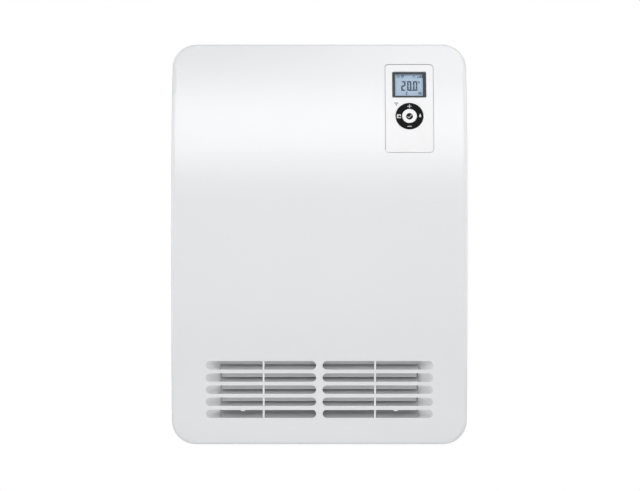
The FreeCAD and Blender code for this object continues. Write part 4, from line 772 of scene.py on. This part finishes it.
def from_ring(across, up):
    """A place across and up from the middle of the ring of keys, along the fascia."""
    return middle_of("ok_key") + ACROSS * across + upward() * up


# Window and display
BORDER_LIFT = 0.002  # how far in front of the window its border starts before it is wrapped onto it


def border_form():
    """The window's border: a grid of nine faces with its middle one taken out, bent onto the window."""
    low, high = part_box("display_lens")
    width = high.x - low.x
    height = (high.z - low.z) / math.sqrt(1 - PRESS_AXIS.z**2)
    own = sizes()
    piece = new_grid(3, 1.0)
    stretch(piece, width, height)
    start_edit(piece)
    lines = [
        (0, -width / 6, own.border_left - width / 2),
        (0, width / 6, width / 2 - own.border_right),
        (1, -height / 6, own.border_bottom - height / 2),
        (1, height / 6, height / 2 - own.border_top),
    ]
    for axis, old, new in lines:
        pick(piece, "verts", lambda point: abs(point[axis] - old) < TOUCH)
        move = [0.0, 0.0, 0.0]
        move[axis] = new - old
        bpy.ops.transform.translate(value=move)
    pick(piece, "faces", lambda point: abs(point.x) < width / 3 and abs(point.y) < height / 3)
    bpy.ops.mesh.delete(type="FACE")
    pick(piece, "verts", lambda p: abs(p.x) > width / 2 - TOUCH and abs(p.y) > height / 2 - TOUCH)
    bpy.ops.mesh.bevel(offset=own.border_corner, affect="VERTICES", segments=4)
    pick_all()
    bpy.ops.mesh.subdivide(number_cuts=9, quadcorner="INNERVERT")
    end_edit()
    place = seat("display_lens", middle_of("display_lens"), PRESS_AXIS)
    put(piece, Matrix.Translation(-PRESS_AXIS * BORDER_LIFT) @ place)
    apply_modifier(
        piece,
        "SHRINKWRAP",
        target=frame["nodes"]["display_lens"],
        wrap_method="NEAREST_SURFACEPOINT",
        wrap_mode="ABOVE_SURFACE",
        offset=TOUCH,
    )
    return piece


class WindowBorder(bpy.types.Operator):
    """Makes the dark border that is printed round the display's window"""

    bl_idname = "heater.window_border"
    bl_label = "Window border"

    def execute(self, context):
        piece = border_form()
        thicken(piece, sizes().print_depth)
        dress(piece, "window_border", "window border print")
        return {"FINISHED"}


# Each stroke's place in a figure, how it lies, and its ends at the figure's corners as (end, outer side)
SEGMENTS = {
    "top": (0, 1, "flat", ((-1, 1), (1, 1))),
    "middle": (0, 0, "flat", ()),
    "bottom": (0, -1, "flat", ((-1, -1), (1, -1))),
    "upper_left": (-1, 0.5, "upright", ((1, 1),)),
    "upper_right": (1, 0.5, "upright", ((1, -1),)),
    "lower_left": (-1, -0.5, "upright", ((-1, 1),)),
    "lower_right": (1, -0.5, "upright", ((-1, -1),)),
}
FIGURES = {
    0: ("top", "bottom", "upper_left", "upper_right", "lower_left", "lower_right"),
    2: ("top", "middle", "bottom", "upper_right", "lower_left"),
}
# Shares of a stroke's thickness
STROKE_GAP = 0.12
POINT_SIDE = 0.8
DEGREE_RADIUS = 0.62
DEGREE_WALL = 0.4
DEGREE_DROP = 0.8
# Share of the pitch of the figures
DEGREE_ACROSS = 1.65


def segment(run, stroke, corners):
    """One stroke of a figure: a six-sided bar with pointed ends, mitred where it meets a corner."""
    reach = stroke / math.sqrt(3)
    piece = move_by(new_disc(reach, 6), 0.0, 0.0, math.pi / 6)
    start_edit(piece)
    for side in (-1, 1):
        pick(piece, "verts", lambda point: point.x * side > TOUCH)
        bpy.ops.transform.translate(value=(side * (run - stroke) / 2, 0.0, 0.0))
    for end, outer in corners:
        for level in (-1, 0, 1):
            pick(piece, "verts", lambda p: p.x * end > TOUCH and abs(p.y - level * stroke / 2) < TOUCH)
            old = (run - stroke) / 2 + (reach / 2 if level else reach)
            new = (run + outer * level * stroke) / 2
            bpy.ops.transform.translate(value=(end * (new - old), 0.0, 0.0))
    end_edit()
    return piece


def figure(value, x):
    own = sizes()
    inner_width = own.digit_width - own.digit_stroke
    inner_height = own.digit_height - own.digit_stroke
    gap = own.digit_stroke * STROKE_GAP
    pieces = []
    for name in FIGURES[value]:
        across, up, lie, corners = SEGMENTS[name]
        run = inner_width if lie == "flat" else inner_height / 2
        turn = 0.0 if lie == "flat" else math.pi / 2
        stroke = segment(run - gap, own.digit_stroke, corners)
        pieces.append(move_by(stroke, x + across * inner_width / 2, up * inner_height / 2, turn))
    return pieces


def ring(radius, wall, corners=24):
    """A flat ring about the origin."""
    piece = new_disc(radius, corners)
    start_edit(piece)
    pick_all()
    bpy.ops.mesh.inset(thickness=wall)
    pick(piece, "faces", lambda point: point.length < TOUCH)
    bpy.ops.mesh.delete(type="FACE")
    end_edit()
    return piece


class DisplayDigits(bpy.types.Operator):
    """Makes the display's figures, a temperature with its point and degree ring"""

    bl_idname = "heater.display_digits"
    bl_label = "Display figures"

    def execute(self, context):
        own = sizes()
        pitch = own.digit_pitch
        stroke = own.digit_stroke
        half = own.digit_height / 2
        pieces = figure(2, -pitch) + figure(0, 0.0) + figure(0, pitch)
        side = stroke * POINT_SIDE
        pieces.append(move_by(new_plane(side, side), pitch / 2, side / 2 - half))
        degree = ring(stroke * DEGREE_RADIUS, stroke * DEGREE_WALL)
        pieces.append(move_by(degree, pitch * DEGREE_ACROSS, half - stroke * DEGREE_DROP))
        shift = Vector((own.digit_shift, 0.0, own.digit_rise))
        place = seat("lcd_panel", middle_of("lcd_panel") + shift)
        print_mark(join(pieces), place, "display_digits", "display ink")
        return {"FINISHED"}


# The display's small signs, drawn in shares of their size
def bar(size, width, height, x, y, turn=0.0):
    return move_by(new_plane(size * width, size * height), size * x, size * y, turn)


def clock_sign(size):
    return [ring(size / 2, size * 0.12), bar(size, 0.1, 0.3, 0.0, 0.13), bar(size, 0.24, 0.1, 0.1, 0.0)]


def week_sign(size):
    pieces = [bar(size, 0.9, 0.26, 0.0, 0.34)]
    for column in (-1, 0, 1):
        for row in (-1, 0):
            pieces.append(bar(size, 0.2, 0.22, column * 0.32, row * 0.34))
    return pieces


def roof_sign(size):
    slope = math.radians(28)
    return [bar(size, 0.14, 0.8, -0.2, 0.0, -slope), bar(size, 0.14, 0.8, 0.2, 0.0, slope)]


def bars_sign(size):
    heights = (0.4, 0.6, 0.8, 1.0)
    return [bar(size, 0.34, high, (i - 1.5) * 0.5, (high - 1.0) / 2) for i, high in enumerate(heights)]


def arrows_sign(size):
    upper = move_by(new_disc(size * 0.38, 3), 0.0, size * 0.3)
    lower = move_by(new_disc(size * 0.38, 3), 0.0, -size * 0.3, math.pi)
    return [upper, lower]


def wave_sign(size):
    bars = [bar(size, 0.9, 0.14, 0.1, row * 0.3) for row in (-1, 0, 1)]
    return [move_by(ring(size * 0.42, size * 0.13), -size * 0.2, 0.0)] + bars


# Each sign's maker with its place across and up from the display's middle
SIGNS = {
    "clock": (clock_sign, -0.0128, 0.0114),
    "week": (week_sign, -0.0077, 0.0114),
    "roof": (roof_sign, 0.0056, 0.0114),
    "bars": (bars_sign, 0.0128, 0.0114),
    "arrows": (arrows_sign, -0.003, -0.0085),
    "wave": (wave_sign, 0.0126, -0.0085),
}


class DisplaySigns(bpy.types.Operator):
    """Makes the small signs along the display's upper and lower edge"""

    bl_idname = "heater.display_signs"
    bl_label = "Display signs"

    def execute(self, context):
        middle = middle_of("lcd_panel")
        for name, (maker, across, up) in SIGNS.items():
            piece = join(maker(sizes().icon_size))
            place = seat("lcd_panel", middle + Vector((across, 0.0, up)))
            print_mark(piece, place, "display_sign_" + name, "display ink")
        return {"FINISHED"}


# Signs on the keys and the fascia
MINUS_LENGTH = 1.1  # share of the signs' size
MINUS_ROUND = 0.4  # share of the stroke
FLAME_RADIUS = 0.28  # share of the signs' size
FLAME_LIFTS = ((0.95, 0.8), (0.6, 0.35), (0.2, 0.12))  # corners above a share of the radius rise by a share
TICK_SHORT_ARM = 0.42  # share of the long arm, as are the next two
TICK_LEFT = 0.1
TICK_DOWN = 0.32
TICK_TURN = math.radians(40)
ARC_HALF_ANGLE = math.radians(52)
ARC_WALL = 0.26  # share of the outer arc's radius
ARC_RADII = (0.62, 1.0)  # shares of the outer arc's radius


def plus_form(size):
    stroke = sizes().key_stroke
    piece = new_plane(stroke, stroke)
    start_edit(piece)
    arm = (size - stroke) / 2
    for x, y in ((1, 0), (-1, 0), (0, 1), (0, -1)):
        grow_edge(piece, (x * stroke / 2, y * stroke / 2), (x * arm, y * arm))
    end_edit()
    return piece


def minus_form(size):
    """A bar with rounded corners."""
    stroke = sizes().key_stroke
    piece = new_plane(size * MINUS_LENGTH, stroke)
    start_edit(piece)
    pick_all()
    bpy.ops.mesh.bevel(offset=stroke * MINUS_ROUND, affect="VERTICES", segments=4)
    end_edit()
    return piece


def page_form(size):
    """A page with a turned corner: a grid of four by four faces with the dark ones taken out."""
    piece = new_grid(4, size)
    cell = size / 4
    dark = [(0.5, -0.5), (-0.5, -0.5), (1.5, -0.5), (0.5, 0.5)]
    start_edit(piece)
    places = [Vector((x * cell, y * cell, 0.0)) for x, y in dark]
    pick(piece, "faces", lambda point: any((point - place).length < TOUCH for place in places))
    bpy.ops.mesh.delete(type="FACE")
    end_edit()
    return piece


def flame_form(size):
    """A drop: a disc whose top is drawn up to a point."""
    radius = size * FLAME_RADIUS
    piece = new_disc(radius, 24)
    start_edit(piece)
    for reach, lift in FLAME_LIFTS:
        pick(piece, "verts", lambda point: point.y > radius * reach)
        bpy.ops.transform.translate(value=(0.0, radius * lift, 0.0))
    end_edit()
    return piece


# Each key's sign with its direction from the middle of the ring
KEY_SIGNS = {
    "plus_key": (plus_form, 0, 1),
    "minus_key": (minus_form, 0, -1),
    "menu_key": (page_form, -1, 0),
    "mode_key": (flame_form, 1, 0),
}


class KeySigns(bpy.types.Operator):
    """Makes the printed signs on the four keys of the ring"""

    bl_idname = "heater.key_signs"
    bl_label = "Key signs"

    def execute(self, context):
        own = sizes()
        for key, (form, across, up) in KEY_SIGNS.items():
            piece = form(own.key_mark)
            target = from_ring(across * own.key_circle, up * own.key_circle)
            place = seat(key, target, PRESS_AXIS)
            print_mark(piece, place, key + "_sign", "white print", key)
        return {"FINISHED"}


def tick_form(size, stroke):
    """A tick: a corner with a short and a long arm, turned onto its point."""
    piece = new_plane(stroke, stroke)
    start_edit(piece)
    grow_edge(piece, (0.0, stroke / 2), (0.0, size))
    grow_edge(piece, (-stroke / 2, 0.0), (-size * TICK_SHORT_ARM, 0.0))
    end_edit()
    return move_by(piece, -size * TICK_LEFT, -size * TICK_DOWN, -TICK_TURN)


class MiddleKeySign(bpy.types.Operator):
    """Makes the dark disc and the tick on the round key in the middle of the ring"""

    bl_idname = "heater.middle_key_sign"
    bl_label = "Middle key sign"

    def execute(self, context):
        own = sizes()
        place = seat("ok_key", from_ring(0.0, 0.0), PRESS_AXIS)
        disc = new_disc(own.ok_disc, 48)
        print_mark(disc, place, "ok_key_disc", "black print", "ok_key")
        tick = tick_form(own.tick_length, own.tick_stroke)
        place = Matrix.Translation(-PRESS_AXIS * (own.print_depth + TOUCH)) @ place
        print_mark(tick, place, "ok_key_tick", "white print", "ok_key")
        return {"FINISHED"}


def arc_band(radius, wall, half_angle):
    """A flat band along an arc about the upward direction."""
    deselect()
    bpy.ops.mesh.primitive_circle_add(vertices=64, radius=radius, fill_type="NOTHING")
    piece = bpy.context.active_object
    start_edit(piece)
    lowest = radius * math.cos(half_angle)
    pick(piece, "verts", lambda point: point.y < lowest)
    bpy.ops.mesh.delete(type="VERT")
    pick_all()
    bpy.ops.mesh.extrude_region_move()
    grow = (radius + wall) / radius
    bpy.ops.transform.resize(value=(grow, grow, 1.0), center_override=(0.0, 0.0, 0.0))
    end_edit()
    return piece


class SignalMark(bpy.types.Operator):
    """Makes the faint sign of arcs on the fascia, beside the ring of keys"""

    bl_idname = "heater.signal_mark"
    bl_label = "Signal mark"

    def execute(self, context):
        own = sizes()
        reach = own.signal_mark / 2 / math.sin(ARC_HALF_ANGLE)
        wall = reach * ARC_WALL
        pieces = [arc_band(reach * share - wall, wall, ARC_HALF_ANGLE) for share in ARC_RADII]
        pieces.append(new_disc(wall, 16))
        place = seat("control_fascia", from_ring(-own.signal_left, own.signal_up), PRESS_AXIS)
        print_mark(join(pieces), place, "signal_mark", "grey print")
        return {"FINISHED"}


# Each node of screws with the direction from their shanks to their heads
SCREW_NODES = {
    "casing_screws": Vector((0.0, 0.0, -1.0)),
    "blower_screws": Vector((0.0, -1.0, 0.0)),
    "board_screws": Vector((0.0, -1.0, 0.0)),
    "motor_screws": Vector((1.0, 0.0, 0.0)),
    "control_screws": PRESS_AXIS,
}
MERGE_DISTANCE = 1e-6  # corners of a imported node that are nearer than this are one
HEAD_EDGE = 0.95  # corners further out than this share of the head's radius are on its edge
HEAD_CROWN = 0.5  # share of the head's height that its rounding takes
CROWN_PROFILE = 0.6
POINT_SHARE = 0.3  # the most of the shank that its point takes
POINT_WIDTH = 0.6  # share of the shank's radius at the tip
RECESS_WIDTH = 0.2  # share of the head's radius
RECESS_DEPTH = 0.62  # share of the head's height
RECESS_TAPER = (0.45, 0.8, 1.0)  # size of a wedge's foot as a share of its top
SMOOTH_ANGLE = math.radians(35)
SCREW_TURN = 0.7  # radians from one screw's recess to the next


def solids_of(node):
    """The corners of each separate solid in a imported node."""
    mesh = bmesh.new()
    mesh.from_mesh(frame["nodes"][node].data)
    bmesh.ops.remove_doubles(mesh, verts=mesh.verts, dist=MERGE_DISTANCE)
    left = set(mesh.verts)
    solids = []
    while left:
        front = [left.pop()]
        corners = []
        while front:
            corner = front.pop()
            corners.append(corner.co.copy())
            linked = {edge.other_vert(corner) for edge in corner.link_edges} & left
            left -= linked
            front += linked
        solids.append(corners)
    mesh.free()
    return solids


def screw_sizes(corners, axis):
    """A screw's frame at the seat of its head, and its head's and shank's radius and length."""
    low = Vector([min(corner[i] for corner in corners) for i in range(3)])
    high = Vector([max(corner[i] for corner in corners) for i in range(3)])
    middle = (low + high) / 2
    rows = []
    for corner in corners:
        along = (corner - middle).dot(axis)
        rows.append((along, (corner - middle - axis * along).length))
    head = max(radius for _, radius in rows)
    floor = min(along for along, radius in rows if radius > head * HEAD_EDGE)
    top = max(along for along, _ in rows)
    shank = max(radius for along, radius in rows if along < floor - TOUCH)
    tip = min(along for along, _ in rows)
    turn = axis.to_track_quat("Z", "Y").to_matrix().to_4x4()
    place = Matrix.Translation(middle + axis * floor) @ turn
    return place, head, top - floor, shank, floor - tip


def cross_cutter(reach, width, depth):
    """Two crossed wedges that cut a screw's recess."""
    wedges = []
    for turn in (0.0, math.pi / 2):
        deselect()
        bpy.ops.mesh.primitive_cube_add(size=1.0)
        wedge = bpy.context.active_object
        stretch(wedge, 2 * reach, width, 2 * depth)
        start_edit(wedge)
        pick(wedge, "faces", lambda point: point.z < -depth / 2)
        bpy.ops.transform.resize(value=RECESS_TAPER, center_override=(0.0, 0.0, -depth))
        end_edit()
        put(wedge, Matrix.Rotation(turn, 4, "Z"))
        wedges.append(wedge)
    apply_modifier(wedges[0], "BOOLEAN", object=wedges[1], operation="UNION", solver="EXACT")
    bpy.data.objects.remove(wedges[1])
    return wedges[0]


def screw_form(head, head_length, shank, shank_length):
    """A pan-head screw with a cross recess, its head's seat at the origin and its head upward."""
    deselect()
    bpy.ops.mesh.primitive_cylinder_add(vertices=sizes().screw_sides, radius=head, depth=head_length)
    piece = bpy.context.active_object
    put(piece, Matrix.Translation((0.0, 0.0, head_length / 2)))
    start_edit(piece)
    pick(piece, "edges", lambda point: point.z > head_length - TOUCH)
    bpy.ops.mesh.bevel(offset=head_length * HEAD_CROWN, segments=5, profile=CROWN_PROFILE)
    pick(piece, "faces", lambda point: point.z < TOUCH)
    bpy.ops.mesh.inset(thickness=head - shank)
    point_length = min(shank, shank_length * POINT_SHARE)
    extrude(0.0, 0.0, point_length - shank_length)
    extrude(0.0, 0.0, -point_length)
    narrower = (POINT_WIDTH, POINT_WIDTH, 1.0)
    bpy.ops.transform.resize(value=narrower, center_override=(0.0, 0.0, -shank_length))
    end_edit()
    cutter = cross_cutter(head * sizes().recess_share, head * RECESS_WIDTH, head_length * RECESS_DEPTH)
    put(cutter, Matrix.Translation((0.0, 0.0, head_length)))
    apply_modifier(piece, "BOOLEAN", object=cutter, operation="DIFFERENCE", solver="EXACT")
    bpy.data.objects.remove(cutter)
    use(piece)
    bpy.ops.object.shade_smooth_by_angle(angle=SMOOTH_ANGLE)
    return piece


class Screws(bpy.types.Operator):
    """Makes the cross-head screws that stand for the plain ones of the solids"""

    bl_idname = "heater.screws"
    bl_label = "Screws"

    def execute(self, context):
        for node, axis in SCREW_NODES.items():
            pattern = None
            for count, corners in enumerate(solids_of(node)):
                place, *measures = screw_sizes(corners, axis)
                if pattern is None:
                    pattern = screw_form(*measures)
                use(pattern)
                bpy.ops.object.duplicate()
                piece = bpy.context.active_object
                put(piece, place @ Matrix.Rotation(SCREW_TURN * count, 4, "Z"))
                dress(piece, f"{node[:-1]}_{count + 1}", "zinc plated steel")
                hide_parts(node)
            bpy.data.objects.remove(pattern)
        return {"FINISHED"}


class NodeFinishes(bpy.types.Operator):
    """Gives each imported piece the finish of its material"""

    bl_idname = "heater.node_finishes"
    bl_label = "Finishes"

    def execute(self, context):
        for row in frame["record"]["subparts"]:
            piece = frame["nodes"][row["node"]]
            slot = row["material_slot"]
            piece.data.materials.clear()
            piece.data.materials.append(finish(SLOT_FINISHES.get(slot, slot.replace("_", " "))))
        return {"FINISHED"}


# Stage
SENSOR_WIDTH = 36.0  # millimetres, which the lens goes with


def mix_shaders(tree, share, first, second):
    node = tree.nodes.new("ShaderNodeMixShader")
    for socket, value in zip(node.inputs, (share, first, second)):
        tree.links.new(value, socket)
    return node.outputs[0]


def split_rays(tree, lit, shown, end):
    """Gives the shown shader to the camera, reflections and glass, and the lit one to other rays."""
    path = tree.nodes.new("ShaderNodeLightPath")
    eyes = math_node(tree, "MAXIMUM", path.outputs["Is Camera Ray"], path.outputs["Is Glossy Ray"])
    eyes = math_node(tree, "MAXIMUM", eyes, path.outputs["Is Transmission Ray"])
    tree.links.new(mix_shaders(tree, eyes, lit, shown), end)


def set_world():
    world = bpy.data.worlds.new("studio")
    world.use_nodes = True
    bpy.context.scene.world = world
    tree = world.node_tree
    around = tree.nodes["Background"]
    around.inputs["Strength"].default_value = studio().ambient
    around.inputs["Color"].default_value = WHITE
    white = tree.nodes.new("ShaderNodeBackground")
    white.inputs["Color"].default_value = WHITE
    split_rays(tree, around.outputs[0], white.outputs[0], tree.nodes["World Output"].inputs["Surface"])


def floor_paint():
    """A pale floor that fades to white away from the heater."""
    made, tree, shader = new_material("studio floor", Specular_IOR_Level=0.2)
    add_drift(tree, shader, colours().floor, tone=0.01, roughness=0.7, gloss=0.05, scale=2.0)
    white = tree.nodes.new("ShaderNodeEmission")
    reach = vector_node(tree, "LENGTH", object_place(tree))
    fade = tree.nodes.new("ShaderNodeMapRange")
    fade.interpolation_type = "SMOOTHSTEP"
    fade.inputs["From Min"].default_value = studio().floor_clear
    fade.inputs["From Max"].default_value = studio().floor_fade
    fade.inputs["To Min"].default_value = studio().floor_white
    tree.links.new(reach.outputs["Value"], fade.inputs["Value"])
    far = mix_shaders(tree, fade.outputs["Result"], shader.outputs[0], white.outputs[0])
    split_rays(tree, shader.outputs[0], far, tree.nodes["Material Output"].inputs["Surface"])
    return made


def add_floor():
    own = studio()
    floor = new_grid(8, own.floor_size)
    put(floor, Matrix.Translation((0.0, 0.0, CAD_BOX[0][2] - own.floor_drop)))
    floor.name = "studio_floor"
    floor.data.materials.append(floor_paint())


def new_holder(held, place, turn):
    """An object in the scene that holds a lamp or a camera."""
    holder = bpy.data.objects.new(held.name, held)
    holder.location = place
    holder.rotation_euler = turn
    bpy.context.scene.collection.objects.link(holder)
    return holder


def add_lamp(name):
    """An area lamp from the studio's settings of that name."""
    own = studio()
    lamp = bpy.data.lights.new(name, "AREA")
    lamp.shape = "RECTANGLE"
    lamp.energy = getattr(own, name + "_power")
    lamp.size, lamp.size_y = getattr(own, name + "_span")
    place = Vector(getattr(own, name + "_place"))
    aim = Vector(getattr(own, name + "_aim")) - place
    holder = new_holder(lamp, place, aim.to_track_quat("-Z", "Y").to_euler())
    holder.visible_glossy = name not in DIFFUSE_LAMPS


def add_camera():
    own = studio()
    camera = bpy.data.cameras.new("camera")
    camera.lens = own.camera_lens
    camera.sensor_width = SENSOR_WIDTH
    place = (own.camera_x, own.camera_y, own.camera_z)
    bpy.context.scene.camera = new_holder(camera, place, (math.pi / 2, 0.0, 0.0))


class Stage(bpy.types.Operator):
    """Makes the floor, the lamps, the white surroundings and the camera"""

    bl_idname = "heater.stage"
    bl_label = "Stage"

    def execute(self, context):
        context.scene.view_settings.view_transform = "Standard"
        set_world()
        add_floor()
        for name in LAMPS:
            add_lamp(name)
        add_camera()
        return {"FINISHED"}


class HeaterPanel(bpy.types.Panel):
    bl_label = "Wall fan heater"
    bl_idname = "VIEW3D_PT_heater"
    bl_space_type = "VIEW_3D"
    bl_region_type = "UI"
    bl_category = "Heater"

    def draw(self, context):
        for operator in OPERATORS:
            self.layout.operator(operator.bl_idname)
        for name, kind in GROUPS.items():
            column = self.layout.column()
            for label in kind.__annotations__:
                column.prop(getattr(context.scene, name), label)


GROUPS = {
    "heater_sizes": HeaterSizes,
    "heater_colours": HeaterColours,
    "heater_studio": StudioSettings,
}
OPERATORS = (
    NodeFinishes,
    WindowBorder,
    DisplayDigits,
    DisplaySigns,
    KeySigns,
    MiddleKeySign,
    SignalMark,
    Screws,
    Stage,
)


def register():
    for label, group in GROUPS.items():
        bpy.utils.register_class(group)
        setattr(bpy.types.Scene, label, PointerProperty(type=group))
    for item in OPERATORS + (HeaterPanel,):
        bpy.utils.register_class(item)


def unregister():
    for item in reversed(OPERATORS + (HeaterPanel,)):
        bpy.utils.unregister_class(item)
    for label, group in GROUPS.items():
        delattr(bpy.types.Scene, label)
        bpy.utils.unregister_class(group)


def main():
    register()
    bpy.ops.heater.node_finishes()
    bpy.ops.heater.window_border()
    bpy.ops.heater.display_digits()
    bpy.ops.heater.display_signs()
    bpy.ops.heater.key_signs()
    bpy.ops.heater.middle_key_sign()
    bpy.ops.heater.signal_mark()
    bpy.ops.heater.screws()
    bpy.ops.heater.stage()


if __name__ == "__main__":
    main()
